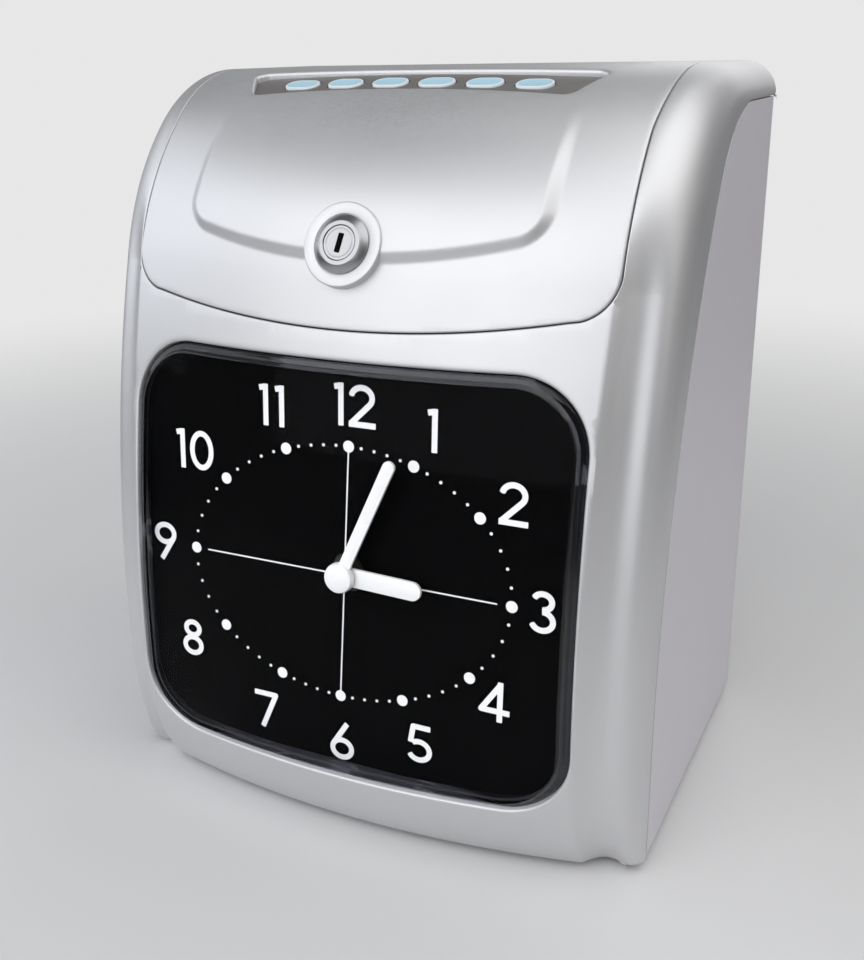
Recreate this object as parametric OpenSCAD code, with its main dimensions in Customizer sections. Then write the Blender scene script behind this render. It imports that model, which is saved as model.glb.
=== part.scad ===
// Punch-card time recorder: a silver front shell with a lockable top cover, a
// grey rear housing, an analogue dial behind a clear window, six function keys
// and a dot-matrix print unit over the card pocket.
// Millimetres, +Z up, face towards -Y, origin under the middle of the body.

/* [Body] */
// Overall width across the side walls
body_w = 206; // [200:1:220]
// Overall depth from the front of the face to the back wall
body_d = 168; // [164:1:185]
// Overall height from the feet to the roof
body_h = 257; // [252:1:270]
// Wall thickness of the moulded shells
wall_t = 2.5; // [2:0.1:3]
// Height of the rubber feet below the housing
foot_h = 1.5; // [1:0.1:2.5]
// Diameter of a rubber foot
foot_dia = 14; // [10:1:18]
// Gap between two moulded shells at a seam
seam_gap = 0.4; // [0.3:0.05:0.6]

/* [Face] */
// Height at which the face stands upright
face_z = 46; // [42:1:50]
// Radius of the face in side view
face_r = 500; // [460:10:600]
// Radius of the face in plan
bulge_r = 357; // [330:1:420]
// Setback of the chin at its foot
chin_set = 15; // [12:1:18]
// Height of the brow, where the face turns back
brow_h = 44; // [40:1:48]
// Height of the crown above the brow
crown_h = 17; // [15:0.5:19]
// Lean of the surface where brow meets crown
crown_lean = 47; // [45:1:49]
// Width of the corner between face and sides
corner_w = 20; // [18:1:22]
// Depth of the corner between face and sides
corner_d = 17; // [15:1:20]
// Corner radius between roof and sides
roof_r = 12; // [10:1:14]
// Depth of the flute down each side of the face
flute_d = 4.5; // [1:0.1:5]
// Distance from the face back to the side seam
side_set = 33; // [30:1:36]
// Radius of the side seam in side view
side_r = 340; // [320:5:380]
// Height over which the side seam turns to meet the roof
side_turn = 24; // [20:1:28]

/* [Window and dial] */
// Distance from a side wall to the window opening
window_side = 20.5; // [20:0.5:24]
// Height of the window opening's foot
window_low = 28; // [27:0.5:32]
// Distance from the window opening up to the cover's seam
window_brow = 9; // [8:0.5:13]
// Corner radius of the window opening
window_r = 24; // [16:1:30]
// Thickness of the clear window
lens_t = 3; // [2.5:0.1:3.5]
// How far the window stands proud of the face
lens_proud = 0.8; // [0.3:0.1:1.2]
// Gap between the window and its opening
lens_gap = 0.4; // [0.3:0.05:0.6]
// Clearance between the window's top corners and the dial
dial_gap = 3.3; // [3:0.1:4]
// Lean of the dial
dial_lean = 5; // [4:0.5:5.5]
// Thickness of the dial plate
dial_t = 1; // [0.8:0.1:1.5]
// Reach of the dial plate past the window opening
dial_lap = 1.5; // [1:0.25:2]
// Reach of the minute hand
minute_len = 44; // [38:1:48]
// Reach of the hour hand
hour_len = 29; // [24:1:34]
// Width of the minute hand
minute_hand_w = 4; // [3:0.5:6]
// Width of the hour hand
hour_hand_w = 6.5; // [5:0.5:8]
// Thickness of a hand
hand_t = 1.2; // [0.8:0.1:1.4]
// Minutes shown past three o'clock
minutes_shown = 4; // [0:1:59]

/* [Clock movement] */
// Diameter of the minute arbor
arbor_dia = 4; // [3.6:0.1:4.2]
// Outer diameter of the hour pipe
pipe_dia = 6; // [5.6:0.1:6.4]
// Outer diameter of the movement's threaded neck
neck_dia = 8.6; // [8.2:0.1:9]
// Radial running clearance of shafts and pins
run_fit = 0.05; // [0.03:0.01:0.08]
// Distance between the arbor and the minute wheel's axis
train_c = 12; // [12:0.5:13]
// Module of the motor gears
drive_m = 0.5; // [0.5:0.02:0.54]
// Thickness of a clock gear
gear_t = 1.6; // [1.2:0.1:1.8]
// Clearance between the gears and the movement case
movement_gap = 0.6; // [0.5:0.1:1.5]
// Wall of the movement case
movement_wall = 1.6; // [1.2:0.1:2]

/* [Top cover] */
// Distance from a side wall to the cover's side seam
cover_side = 16.5; // [16:0.5:19]
// Widening of the cover towards the roof
cover_flare = 2; // [0:0.5:3]
// Distance from the roof down to the lowest point of the cover's front seam
cover_drop = 76; // [74:0.5:77]
// Rise of the front seam from its middle to its corners
smile_rise = 6; // [4:0.5:8]
// Corner radius of the cover's front seam
cover_r = 14; // [10:1:18]
// Rise of the raised panel around the lock
panel_rise = 1.8; // [1:0.1:2.2]
// Distance from a side wall to the raised panel
panel_side = 38; // [35:1:45]
// Height of the hinge axis below the roof
hinge_drop = 2.6; // [2.5:0.1:3]
// Distance from the crest of the roof back to the hinge axis
hinge_set = 14; // [12:1:16]
// Diameter of a hinge pin
hinge_pin_dia = 2.4; // [2:0.1:2.6]
// Distance from the cover's side seam to a hinge
hinge_in = 20.5; // [18:0.5:26]
// Length of a hinge knuckle
knuckle_l = 10; // [8:1:12]

/* [Lock] */
// Lean of the surface at the lock
lock_lean = 23.4; // [21:0.2:24]
// Diameter of the flat boss round the lock
lock_boss_dia = 27; // [24:0.5:30]
// Diameter of the lock's ring
lock_ring_dia = 19.2; // [18:0.2:20]
// Diameter of the lock's barrel
lock_barrel_dia = 15.6; // [14.6:0.2:16.4]
// Diameter of the turning plug
lock_plug_dia = 11; // [10:0.2:11.6]
// Reach of the cam from the lock's axis
cam_reach = 19; // [18:0.5:20]

/* [Keys] */
// Number of function keys
key_count = 6; // [4:1:6]
// Spacing of the keys
key_pitch = 17.2; // [16.5:0.1:18]
// Width of a key
key_w = 13; // [11:0.5:14]
// Depth of a key from front to back
key_d = 8.4; // [7:0.2:9]
// Travel of a key
key_travel = 1.2; // [0.8:0.1:1.4]
// Gap round a key in its hole
key_gap = 0.35; // [0.3:0.05:0.5]
// Lean of the surface at the keys
key_lean = 74; // [72:0.5:76]
// Depth of the key recess
recess_d = 2.4; // [2.2:0.1:3]

/* [Card pocket] */
// Distance of the card pocket's middle behind the crest of the roof
card_set = 41.3; // [39:0.1:43]
// Width of the card pocket
card_w = 92; // [86:1:96]
// Opening of the card pocket from front to back
card_gap = 5.6; // [5.2:0.1:6.4]
// Height of the card pocket's foot
card_foot = 79; // [72:1:92]
// Wall of the card pocket
card_wall = 1.5; // [1.2:0.1:1.8]

/* [Print unit] */
// Distance between the outer faces of the frame's cheeks
frame_w = 124; // [122:1:128]
// Sheet thickness of the frame
sheet_t = 1.5; // [1.2:0.1:1.8]
// Diameter of the carriage rods
rod_dia = 4; // [3:0.2:5]
// Distance between the two carriage rods
rod_gap = 24; // [23:0.5:25]
// Distance from the roof down to the print head's axis
head_drop = 33; // [32:0.5:34]
// Distance of the carriage belt in front of the roof's crest
print_set = 10.7; // [10:0.1:11.5]
// Travel of the print head to each side
head_travel = 24; // [16:1:26]
// Distance from a cheek's outer face to a belt pulley
pulley_in = 18; // [17:0.5:19]
// Radius of a belt pulley
pulley_r = 6; // [5:0.2:6]
// Distance from the roof down to the feed roller's axis
feed_drop = 71; // [67:1:75]
// Radius of a feed roller
feed_r = 6; // [5:0.2:6.6]
// Module of the feed gears
feed_m = 0.8; // [0.76:0.02:0.84]

/* [Base and electronics] */
// Width left free beside the main circuit board
board_side = 80; // [76:1:96]
// Depth of the main circuit board
board_d = 78; // [70:1:80]
// Thickness of a circuit board
board_t = 1.6; // [1.2:0.1:2]
// Height of a stand-off under the main board
standoff_h = 9; // [6:0.5:12]
// Spacing of the wall holes across
wall_hole_w = 150; // [140:1:156]
// Spacing of the wall holes up and down
wall_hole_h = 80; // [60:1:84]
// Diameter of a wall hole
wall_hole_dia = 5; // [4:0.2:6]
// Diameter of an assembly screw
screw_dia = 3; // [2.6:0.1:3.4]

/* [Hidden] */
$fn = 48;
// Small overlap that makes two parts of one solid fuse
fuse = 0.3;
// Clearance between a fixed and a moving piece
clear = 0.5;

half_w = body_w / 2;
window_w = body_w - 2 * window_side;
cover_z = body_h - cover_drop;
window_h = cover_z - window_brow - window_low;
window_z = window_low + window_h / 2;
cover_half = half_w - cover_side;
panel_half = half_w - panel_side;
hinge_x = cover_half - hinge_in;
head_z = body_h - head_drop;
feed_z = body_h - feed_drop;
board_w = body_w - board_side;
face_y = -body_d / 2 + lens_proud;
rear_y = body_d / 2;
rear_in = rear_y - wall_t;
floor_z = foot_h + wall_t;

// Arcs of the side profile, from the chin over the face, brow and crown
chin_rise = face_z - foot_h;
chin_r = (chin_rise * chin_rise + chin_set * chin_set) / (2 * chin_set);
chin_a = asin(chin_rise / chin_r);
brow_z = body_h - crown_h - brow_h;
brow_a = asin((brow_z - face_z) / face_r);
brow_r = brow_h / (sin(crown_lean) - sin(brow_a));
crown_r = crown_h / (1 - sin(crown_lean));
brow_y = face_y + face_r * (1 - cos(brow_a));
crown_y = brow_y + brow_r * (cos(brow_a) - cos(crown_lean));
crest_y = crown_y + crown_r * cos(crown_lean);
hinge_y = crest_y + hinge_set;
hinge_z = body_h - hinge_drop;
card_y = crest_y + card_set;
print_y = crest_y - print_set;

function steps(from, to, n) = [for (i = [0:n]) from + (to - from) * i / n];

// Point [y, z] of the side profile where the surface leans back by a degrees
function profile_at(a) =
    a < 0 ? [face_y + chin_r * (1 - cos(a)), face_z + chin_r * sin(a)] :
    a < brow_a ? [face_y + face_r * (1 - cos(a)), face_z + face_r * sin(a)] :
    a < crown_lean ? [brow_y + brow_r * (cos(brow_a) - cos(a)), brow_z + brow_r * (sin(a) - sin(brow_a))] :
    [crown_y + crown_r * (cos(crown_lean) - cos(a)), body_h - crown_h + crown_r * (sin(a) - sin(crown_lean))];

// Lean of the face at a height below the brow
function lean_at(z) = asin((z - face_z) / (z < face_z ? chin_r : face_r));

// How far the plan bulge sets the face back at a distance from the middle
function bulge(x) = x * x / (2 * bulge_r);

// Width and depth of the corner, which tightens from the face to the roof
function corner_at(a) = corner_w + (roof_r - corner_w) * sin(max(a, 0));
function corner_deep(a) = corner_d + (roof_r - corner_d) * sin(max(a, 0));

// Depth of the flute round the corner, fading out over the brow
flute_span = 60;
flute_start = 9;
flute_end = 36;
flute_skew = 0.65;
function flute_fade(a) = 0.5 + 0.5 * cos(180 * min(max((a - flute_start) / (flute_end - flute_start), 0), 1));
function flute(phi, a) =
    abs(phi) > flute_span ? 0 :
    flute_d * pow(sin(180 * pow(abs(phi) / flute_span, flute_skew)), 2) * flute_fade(a);

// Point of the skin: station [lean, fixed y], section [share of the flat, corner angle, run down the side].
// The chin's setback fades out round the corner, so the side edge stays upright.
function skin(station, section, inset) =
    let (
        a = station[0],
        up = max(a, 0),
        w = corner_at(up) - inset,
        base = profile_at(a),
        tuck = a < 0 ? (base[0] - face_y) * (1 - cos(section[1])) : 0,
        x = section[0] * (half_w - corner_at(up)) + w * sin(section[1]),
        d = (corner_deep(up) - inset) * (1 - cos(section[1])) + flute(section[1], up) + section[2]
    )
    [
        x,
        is_undef(station[1]) ? base[0] - tuck + inset * cos(a) + bulge(x) + d * cos(up) : station[1],
        base[1] - inset * sin(a) - d * sin(up)
    ];

side_run = side_set + corner_d - roof_r + 4;
face_cols = steps(-1, 1, 10);
corner_angles = [4, 9, 15, 22, 30, 38, 46, 55, 66, 78, 90];
full_section = concat(
    [[-1, -90, side_run]],
    [for (i = [len(corner_angles) - 1:-1:0]) [-1, -corner_angles[i], 0]],
    [for (u = face_cols) [u, 0, 0]],
    [for (phi = corner_angles) [1, phi, 0]],
    [[1, 90, side_run]]
);
flat_section = [for (u = concat([-1.08], face_cols, [1.08])) [u, 0, 0]];
brow_stations = concat(steps(brow_a, crown_lean, 5), [for (a = steps(crown_lean, 90, 7)) if (a > crown_lean) a]);
full_stations = concat(
    [for (a = steps(-chin_a, 0, 4)) [a]],
    [for (a = steps(0, brow_a, 8)) if (a > 0) [a]],
    [for (a = brow_stations) if (a > brow_a) [a]],
    [[90, rear_y]]
);
window_stations = concat(
    [for (a = steps(-chin_a, 0, 4)) if (a > -chin_a && a < 0) [a]],
    [for (a = steps(0, brow_a, 8)) [a]]
);
panel_stations = [for (a = steps(brow_a, 60, 7)) [a]];

// A sheet that follows the skin between two depths
module sheet(stations, section, outer, inner) {
    rows = len(stations);
    cols = len(section);
    shift = rows * cols;
    points = concat(
        [for (s = stations) for (c = section) skin(s, c, outer)],
        [for (s = stations) for (c = section) skin(s, c, inner)]
    );
    outside = [for (r = [0:rows - 2]) for (c = [0:cols - 2])
        let (p = r * cols + c) each [[p, p + cols, p + cols + 1], [p, p + cols + 1, p + 1]]];
    inside = [for (f = outside) [f[2] + shift, f[1] + shift, f[0] + shift]];
    ring = concat(
        [for (c = [0:cols - 2]) [c, c + 1]],
        [for (r = [0:rows - 2]) [r * cols + cols - 1, (r + 1) * cols + cols - 1]],
        [for (c = [cols - 1:-1:1]) [(rows - 1) * cols + c, (rows - 1) * cols + c - 1]],
        [for (r = [rows - 1:-1:1]) [r * cols, (r - 1) * cols]]
    );
    edge = [for (e = ring) each [[e[0], e[1], e[1] + shift], [e[0], e[1] + shift, e[0] + shift]]];
    polyhedron(points, concat(outside, inside, edge));
}

// Rectangle with round corners, centred
module round_rect(w, h, r) {
    square([w - 2 * r, h], center = true);
    square([w, h - 2 * r], center = true);
    for (x = [-1, 1], y = [-1, 1]) {
        translate([x * (w / 2 - r), y * (h / 2 - r)]) circle(r);
    }
}

// Prism with its outline in the front view, from y0 back to y1
module front_prism(y0, y1) {
    translate([0, y1, 0]) rotate([90, 0, 0]) linear_extrude(y1 - y0) children();
}

// Prism with its outline in the side view, w wide
module side_prism(w) {
    rotate([90, 0, 90]) translate([0, 0, -w / 2]) linear_extrude(w) children();
}

// Cylinder along X from x0 to x1
module rod_x(x0, x1, r) {
    translate([x0, 0, 0]) rotate([0, 90, 0]) cylinder(h = x1 - x0, r = r);
}

// Cylinder along Y from y0 to y1
module rod_y(y0, y1, r) {
    translate([0, y1, 0]) rotate([90, 0, 0]) cylinder(h = y1 - y0, r = r);
}

// Block between two corners
module block(a, b) {
    translate(a) cube(b - a);
}

// Spur gear with straight-flanked teeth, the first tooth centred at phase degrees
module gear(teeth, m, h, phase) {
    pitch = 360 / teeth;
    tip = m * teeth / 2 + 0.85 * m;
    root = m * teeth / 2 - 1.15 * m;
    linear_extrude(h) polygon([for (i = [0:teeth - 1]) each [
        for (k = [[-0.27, root], [-0.1, tip], [0.1, tip], [0.27, root]])
            let (a = phase + (i + k[0]) * pitch) k[1] * [cos(a), sin(a)]
    ]]);
}

// Frame on the skin's middle line where it leans by a: x across, y up the surface, z outwards
module on_skin(a) {
    p = profile_at(a);
    translate([0, p[0], p[1]]) rotate([90 - a, 0, 0]) children();
}

// Shells

roof_seam_z = body_h - roof_r;
side_lean = asin((roof_seam_z - side_turn - face_z) / side_r);
side_y = face_y + side_set;
side_top_z = face_z + side_r * sin(side_lean);
side_top_r = (roof_seam_z - side_top_z) / (1 - sin(side_lean));

// Outline in side view of what belongs to the front cover, grown by g
module front_region(g) {
    far = 2 * body_h;
    polygon(concat(
        [[-far, -far], [side_y + g, -far]],
        [for (a = steps(0, side_lean, 10)) [side_y + g + side_r * (1 - cos(a)), face_z + side_r * sin(a)]],
        [for (a = steps(side_lean, 90, 8)) if (a > side_lean) [
            side_y + g + side_r * (1 - cos(side_lean)) + side_top_r * (cos(side_lean) - cos(a)),
            side_top_z - (a > 89 ? g : 0) + side_top_r * (sin(a) - sin(side_lean))
        ]],
        [[far, roof_seam_z - g], [far, far], [-far, far]]
    ));
}

// Outline in front view of the top cover, drawn in by g
smile_half = cover_half - cover_r;
smile_r = (smile_half * smile_half + smile_rise * smile_rise) / (2 * smile_rise);
smile_a = asin(smile_half / smile_r);
module cover_outline(g) {
    r = cover_r - g;
    right = concat(
        [for (a = steps(0, smile_a, 6)) [smile_r * sin(a), cover_z + g + smile_r * (1 - cos(a))]],
        [for (a = steps(smile_a - 90, 0, 6)) [smile_half + r * cos(a), cover_z + smile_rise + cover_r + r * sin(a)]],
        [[cover_half - g, body_h - crown_h], [cover_half + cover_flare - g, body_h], [cover_half + cover_flare - g, 2 * body_h]]
    );
    polygon(concat([for (p = right) [-p[0], p[1]]], [for (i = [len(right) - 1:-1:0]) right[i]]));
}

cover_rear_y = hinge_y - hinge_drop - 1.4;
// Gap behind the cover's rear edge, which swings up and back past the roof
cover_rear_gap = 1.6;
knuckle_r = hinge_drop;
knuckle_gap = 0.3;
support_l = 5;

module hinge_axis() {
    translate([0, hinge_y, hinge_z]) children();
}

// Each hinge's place along the axis
module each_hinge() {
    for (s = [-1, 1]) translate([s * hinge_x, 0, 0]) children();
}

module window_outline(g) {
    translate([0, window_z]) round_rect(window_w + 2 * g, window_h + 2 * g, window_r + g);
}

// Screws from behind into the roof's tabs, and from below into the chin's bosses
tab_x = half_w - 23;
tab_z = roof_seam_z - 8;
tab_t = 7;
chin_boss_x = 60;
chin_boss_r = 4;
chin_boss_y = profile_at(-chin_a)[0] + bulge(chin_boss_x) + wall_t + chin_boss_r + 2;
screw_r = screw_dia / 2;
screw_head_r = 1.8 * screw_r;
screw_head_h = 1.6;

catch_w = 16;
catch_t = 1.5;
catch_z = cover_z - 4;

module front_cover() color([0.78, 0.78, 0.80]) {
    difference() {
        intersection() {
            union() {
                sheet(full_stations, full_section, 0, wall_t);
                front_prism(rear_in, rear_y) translate([0, roof_seam_z]) difference() {
                    translate([0, -roof_r]) round_rect(body_w - 0.6, 4 * roof_r - 0.6, roof_r);
                    translate([0, -2 * roof_r]) square([2 * body_w, 4 * roof_r], center = true);
                }
            }
            side_prism(2 * body_w) front_region(0);
        }
        front_prism(-body_d, cover_rear_y + cover_rear_gap) cover_outline(0);
        front_prism(-body_d, face_y + 40) window_outline(0);
        block([-card_w / 2, card_y - card_gap / 2, roof_seam_z], [card_w / 2, card_y + card_gap / 2, body_h + 1]);
        hinge_axis() each_hinge() block([-knuckle_l / 2 - knuckle_gap, -2 * knuckle_r, -20],
            [knuckle_l / 2 + knuckle_gap, knuckle_r + clear, 20]);
        hinge_axis() each_hinge() rod_x(-knuckle_l / 2 - support_l - 1, knuckle_l / 2 + support_l + 1,
            hinge_pin_dia / 2);
    }
    hinge_axis() each_hinge() for (s = [-1, 1]) translate([s * (knuckle_l + support_l + 2 * knuckle_gap) / 2, 0, 0])
        difference() {
            union() {
                rod_x(-support_l / 2, support_l / 2, knuckle_r - 0.05);
                block([-support_l / 2, 0, -knuckle_r + 0.05], [support_l / 2, knuckle_r + 3, 0]);
            }
            rod_x(-support_l, support_l, hinge_pin_dia / 2);
        }
    for (s = [-1, 1]) {
        difference() {
            block([s * tab_x - 5, rear_in - seam_gap - tab_t, tab_z - 5],
                [s * tab_x + 5, rear_in - seam_gap, body_h - wall_t + fuse]);
            translate([s * tab_x, 0, tab_z]) rod_y(0, rear_y, screw_r);
        }
        difference() {
            union() {
                translate([s * chin_boss_x, chin_boss_y, floor_z + seam_gap])
                    cylinder(h = 14, r = chin_boss_r);
                block([s * chin_boss_x - 1.5, chin_boss_y - chin_boss_r - 12, floor_z + 8],
                    [s * chin_boss_x + 1.5, chin_boss_y, floor_z + 13]);
            }
            translate([s * chin_boss_x, chin_boss_y, 0]) cylinder(h = floor_z + 11, r = screw_r);
            sheet_outside();
        }
    }
}

// Everything in front of the face's middle depth, for trimming ribs that reach into the wall
module sheet_outside() {
    sheet([for (a = steps(-chin_a, 0, 4)) [a]], flat_section, -20, wall_t / 2);
}

// Rear housing: side walls, back wall and floor
housing_r = 6;
housing_top = roof_seam_z - seam_gap;

module housing_plan(inset) {
    r = housing_r - inset;
    translate([0, (side_y + rear_y) / 2]) {
        len_y = rear_y - side_y;
        w = body_w - 2 * inset;
        translate([0, -r / 2]) square([w, len_y - r], center = true);
        translate([0, -inset / 2]) square([w - 2 * r, len_y - inset], center = true);
        for (s = [-1, 1]) translate([s * (w / 2 - r), len_y / 2 - inset - r]) circle(r);
    }
}

// Floor outline inside the chin, drawn in by g
floor_front = [for (c = full_section) let (p = skin([-chin_a], c, wall_t)) [p[0], p[1]]];
module floor_plan(g) {
    front = [for (p = floor_front) [p[0] * (1 - g / half_w), p[1] + g]];
    polygon(concat(front, [[front[len(front) - 1][0], rear_in], [front[0][0], rear_in]]));
}

foot_x = half_w - 24;
foot_front_y = side_y + 6;
foot_rear_y = rear_y - 20;
foot_sink = 1;
module each_foot() {
    for (x = [-foot_x, foot_x], y = [foot_front_y, foot_rear_y]) translate([x, y, 0]) children();
}

// Circuit board on the floor
board_x0 = half_w - wall_t - 8 - board_w;
board_y0 = rear_in - 12 - board_d;
board_z = floor_z + standoff_h;
board_inset = 6;
module each_standoff() {
    for (x = [board_x0 + board_inset, board_x0 + board_w - board_inset],
         y = [board_y0 + board_inset, board_y0 + board_d - board_inset]) translate([x, y, 0]) children();
}

// Frame bosses on the back wall
frame_space = 3.8;
frame_boss_x = 45;
frame_boss_z = [feed_z - 22, head_z + 10];
frame_rear_y = card_y + card_gap / 2 + card_wall + frame_space;
frame_screw_l = 4;
module each_frame_boss() {
    for (x = [-frame_boss_x, frame_boss_x], z = frame_boss_z) translate([x, 0, z]) children();
}

// Power inlet in the back wall
inlet_x = -half_w + 38;
inlet_z = 66;
inlet_w = 24;
inlet_h = 16;
inlet_deep = 16;
inlet_wall = 2;

wall_hole_z = 160;
module each_wall_hole() {
    for (x = [-wall_hole_w / 2, wall_hole_w / 2], z = [wall_hole_z - wall_hole_h / 2, wall_hole_z + wall_hole_h / 2])
        translate([x, 0, z]) children();
}

// Transformer's place on the floor
core_x = -half_w + 36;
core_y = rear_in - 42;
core_w = 40;
core_d = 34;
core_h = 34;
core_foot = 8;

module rear_housing() color([0.69, 0.67, 0.71]) difference() {
    union() {
        difference() {
            translate([0, 0, foot_h]) linear_extrude(housing_top - foot_h) housing_plan(0);
            translate([0, 0, floor_z]) linear_extrude(body_h) {
                housing_plan(wall_t);
                translate([0, side_y]) square([body_w - 2 * wall_t, 2 * housing_r], center = true);
            }
            side_prism(2 * body_w) intersection() {
                front_region(seam_gap);
                translate([0, floor_z + body_h]) square(2 * body_h, center = true);
            }
            block([-body_w, face_y, 0], [body_w, side_y + seam_gap, floor_z + 1]);
        }
        translate([0, 0, foot_h]) linear_extrude(wall_t) floor_plan(seam_gap);
        each_standoff() translate([0, 0, floor_z - fuse]) cylinder(h = standoff_h + fuse, r = 3.5);
        each_frame_boss() rod_y(frame_rear_y, rear_in + fuse, 4);
    }
    each_foot() cylinder(h = foot_h + foot_sink, r = foot_dia / 2);
    each_wall_hole() rod_y(rear_in - 1, rear_y + 1, wall_hole_dia / 2);
    each_standoff() translate([0, 0, floor_z + 2]) cylinder(h = standoff_h, r = screw_r);
    each_frame_boss() rod_y(frame_rear_y - 1, frame_rear_y + frame_screw_l + 0.4, screw_r);
    for (s = [-1, 1]) {
        translate([s * tab_x, 0, tab_z]) rod_y(rear_in - 1, rear_y + 1, screw_r + 0.2);
        translate([s * tab_x, 0, tab_z]) rod_y(rear_y - screw_head_h, rear_y + 1, screw_head_r + 0.2);
        translate([s * chin_boss_x, chin_boss_y, 0]) cylinder(h = floor_z + 1, r = screw_r + 0.2);
        translate([s * chin_boss_x, chin_boss_y, 0]) cylinder(h = foot_h + screw_head_h, r = screw_head_r + 0.2);
    }
    block([inlet_x - inlet_w / 2 - inlet_wall, rear_in - 1, inlet_z - inlet_h / 2 - inlet_wall],
        [inlet_x + inlet_w / 2 + inlet_wall, rear_y + 1, inlet_z + inlet_h / 2 + inlet_wall]);
}

module rubber_feet() color([0.12, 0.12, 0.13]) each_foot() cylinder(h = foot_h + foot_sink, r = foot_dia / 2);

module screw(shank) {
    cylinder(h = shank, r = screw_r);
    translate([0, 0, -screw_head_h]) difference() {
        cylinder(h = screw_head_h, r = screw_head_r);
        translate([0, 0, -1]) for (a = [0, 90]) rotate([0, 0, a]) translate([-1.6, -0.3, 0]) cube([3.2, 0.6, 1.8]);
    }
}

module housing_screws() color([0.62, 0.62, 0.64]) for (s = [-1, 1]) {
    translate([s * tab_x, rear_y, tab_z]) rotate([90, 0, 0]) translate([0, 0, screw_head_h]) screw(8);
    translate([s * chin_boss_x, chin_boss_y, foot_h + screw_head_h]) screw(9);
}

// Top cover with its raised panel, lock boss and key recess

lock_face = 2.6;
lock_seat = wall_t + 1;
lock_hole_r = lock_barrel_dia / 2;
recess_half = 66;
recess_depth_y = 19;
tray_t = 2;
tray_wall = 2;
key_stroke_gap = 0.3;

// Outline of the key recess, grown by g, in the frame on the skin
module recess_outline(g) {
    v = recess_depth_y / 2 + g;
    polygon([[-recess_half - g, v - 3], [-recess_half + 8 - g / 2, -v], [recess_half - 8 + g / 2, -v],
        [recess_half + g, v - 3], [recess_half - 4 + g, v], [-recess_half + 4 - g, v]]);
}

module each_key() {
    for (i = [0:key_count - 1]) translate([(i - (key_count - 1) / 2) * key_pitch, 0, 0]) children();
}

// Oval with straight sides, centred
module oval(w, d) {
    square([w - d, d], center = true);
    for (s = [-1, 1]) translate([s * (w - d) / 2, 0]) circle(d / 2);
}

board_post_x = recess_half - 8;
switch_h = 3.5;
key_stem_l = 4.2;
key_flange_t = 1;
key_board_z = -recess_d - tray_t - key_stroke_gap - key_flange_t - key_stem_l - 0.3 - switch_h;

module panel_outline() {
    low = profile_at(lock_lean)[1] - 4.6;
    right = [[0, low], [panel_half * 0.5, low + 0.8], [panel_half - 9, low + 4], [panel_half - 2, low + 11],
        [panel_half, low + 20], [panel_half - 3, low + 34]];
    polygon(concat([for (p = right) [-p[0], p[1]]], [for (i = [len(right) - 1:-1:0]) right[i]]));
}

module top_cover() color([0.80, 0.80, 0.82]) {
    difference() {
        union() {
            intersection() {
                union() {
                    sheet(full_stations, full_section, 0, wall_t);
                    intersection() {
                        sheet(panel_stations, flat_section, -panel_rise, wall_t / 2);
                        front_prism(-body_d, body_d) panel_outline();
                    }
                }
                front_prism(-body_d, cover_rear_y) cover_outline(seam_gap);
            }
            on_skin(lock_lean) translate([0, 0, -lock_seat]) cylinder(h = lock_seat + lock_face, r = lock_boss_dia / 2);
            on_skin(key_lean) translate([0, 0, -recess_d - tray_t])
                linear_extrude(max(tray_t, recess_d + tray_t - 2.8)) recess_outline(tray_wall);
            on_skin(key_lean) for (s = [-1, 1]) translate([s * board_post_x, 0, key_board_z])
                cylinder(h = -recess_d - tray_t - key_board_z + fuse, r = 2.4);
            hinge_axis() each_hinge() {
                rod_x(-knuckle_l / 2, knuckle_l / 2, knuckle_r);
                block([-knuckle_l / 2, cover_rear_y - hinge_y - 3, knuckle_r - wall_t], [knuckle_l / 2, 0, knuckle_r]);
            }
        }
        on_skin(lock_lean) translate([0, 0, -3 * wall_t]) cylinder(h = 6 * wall_t, r = lock_hole_r);
        on_skin(key_lean) translate([0, 0, -recess_d]) linear_extrude(3 * recess_d) recess_outline(0);
        on_skin(key_lean) each_key() translate([0, 0, -recess_d - tray_t - 1])
            linear_extrude(tray_t + 2) oval(key_w + 2 * key_gap, key_d + 2 * key_gap);
        hinge_axis() each_hinge() rod_x(-knuckle_l, knuckle_l, hinge_pin_dia / 2 + run_fit);
    }
}

module hinge_pins() color([0.66, 0.66, 0.68]) hinge_axis() each_hinge()
    rod_x(-knuckle_l / 2 - support_l - knuckle_gap, knuckle_l / 2 + support_l + knuckle_gap, hinge_pin_dia / 2);

// Window and dial

lens_in = lens_t - lens_proud;
lens_rim = 3;
lens_rim_t = 1.6;
lip_half = window_w / 2 - window_r - 6;

// Clear window with a thick edge, held by lips behind the opening's top and bottom edges
module window_lens() color([0.85, 0.9, 0.95, 0.25]) {
    intersection() {
        sheet(window_stations, flat_section, -lens_proud, lens_in);
        front_prism(-body_d, 0) window_outline(-lens_gap);
    }
    intersection() {
        sheet(window_stations, flat_section, lens_in - fuse, wall_t + 0.2 + lens_rim_t);
        front_prism(-body_d, 0) difference() {
            window_outline(-lens_gap);
            translate([0, window_z]) square([2 * window_w, window_h - 2 * lens_gap - 2 * lens_rim], center = true);
            lips_aside();
        }
    }
    intersection() {
        sheet(window_stations, flat_section, wall_t + 0.2, wall_t + 0.2 + lens_rim_t);
        front_prism(-body_d, 0) difference() {
            window_outline(lens_rim);
            translate([0, window_z]) square([2 * window_w, window_h - 2 * lens_gap - lens_rim], center = true);
            lips_aside();
        }
    }
}

// What lies to the left and right of the window's lips
module lips_aside() {
    for (s = [-1, 1]) translate([s * (lip_half + window_w), window_z]) square([2 * window_w, 2 * window_h], center = true);
}

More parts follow.
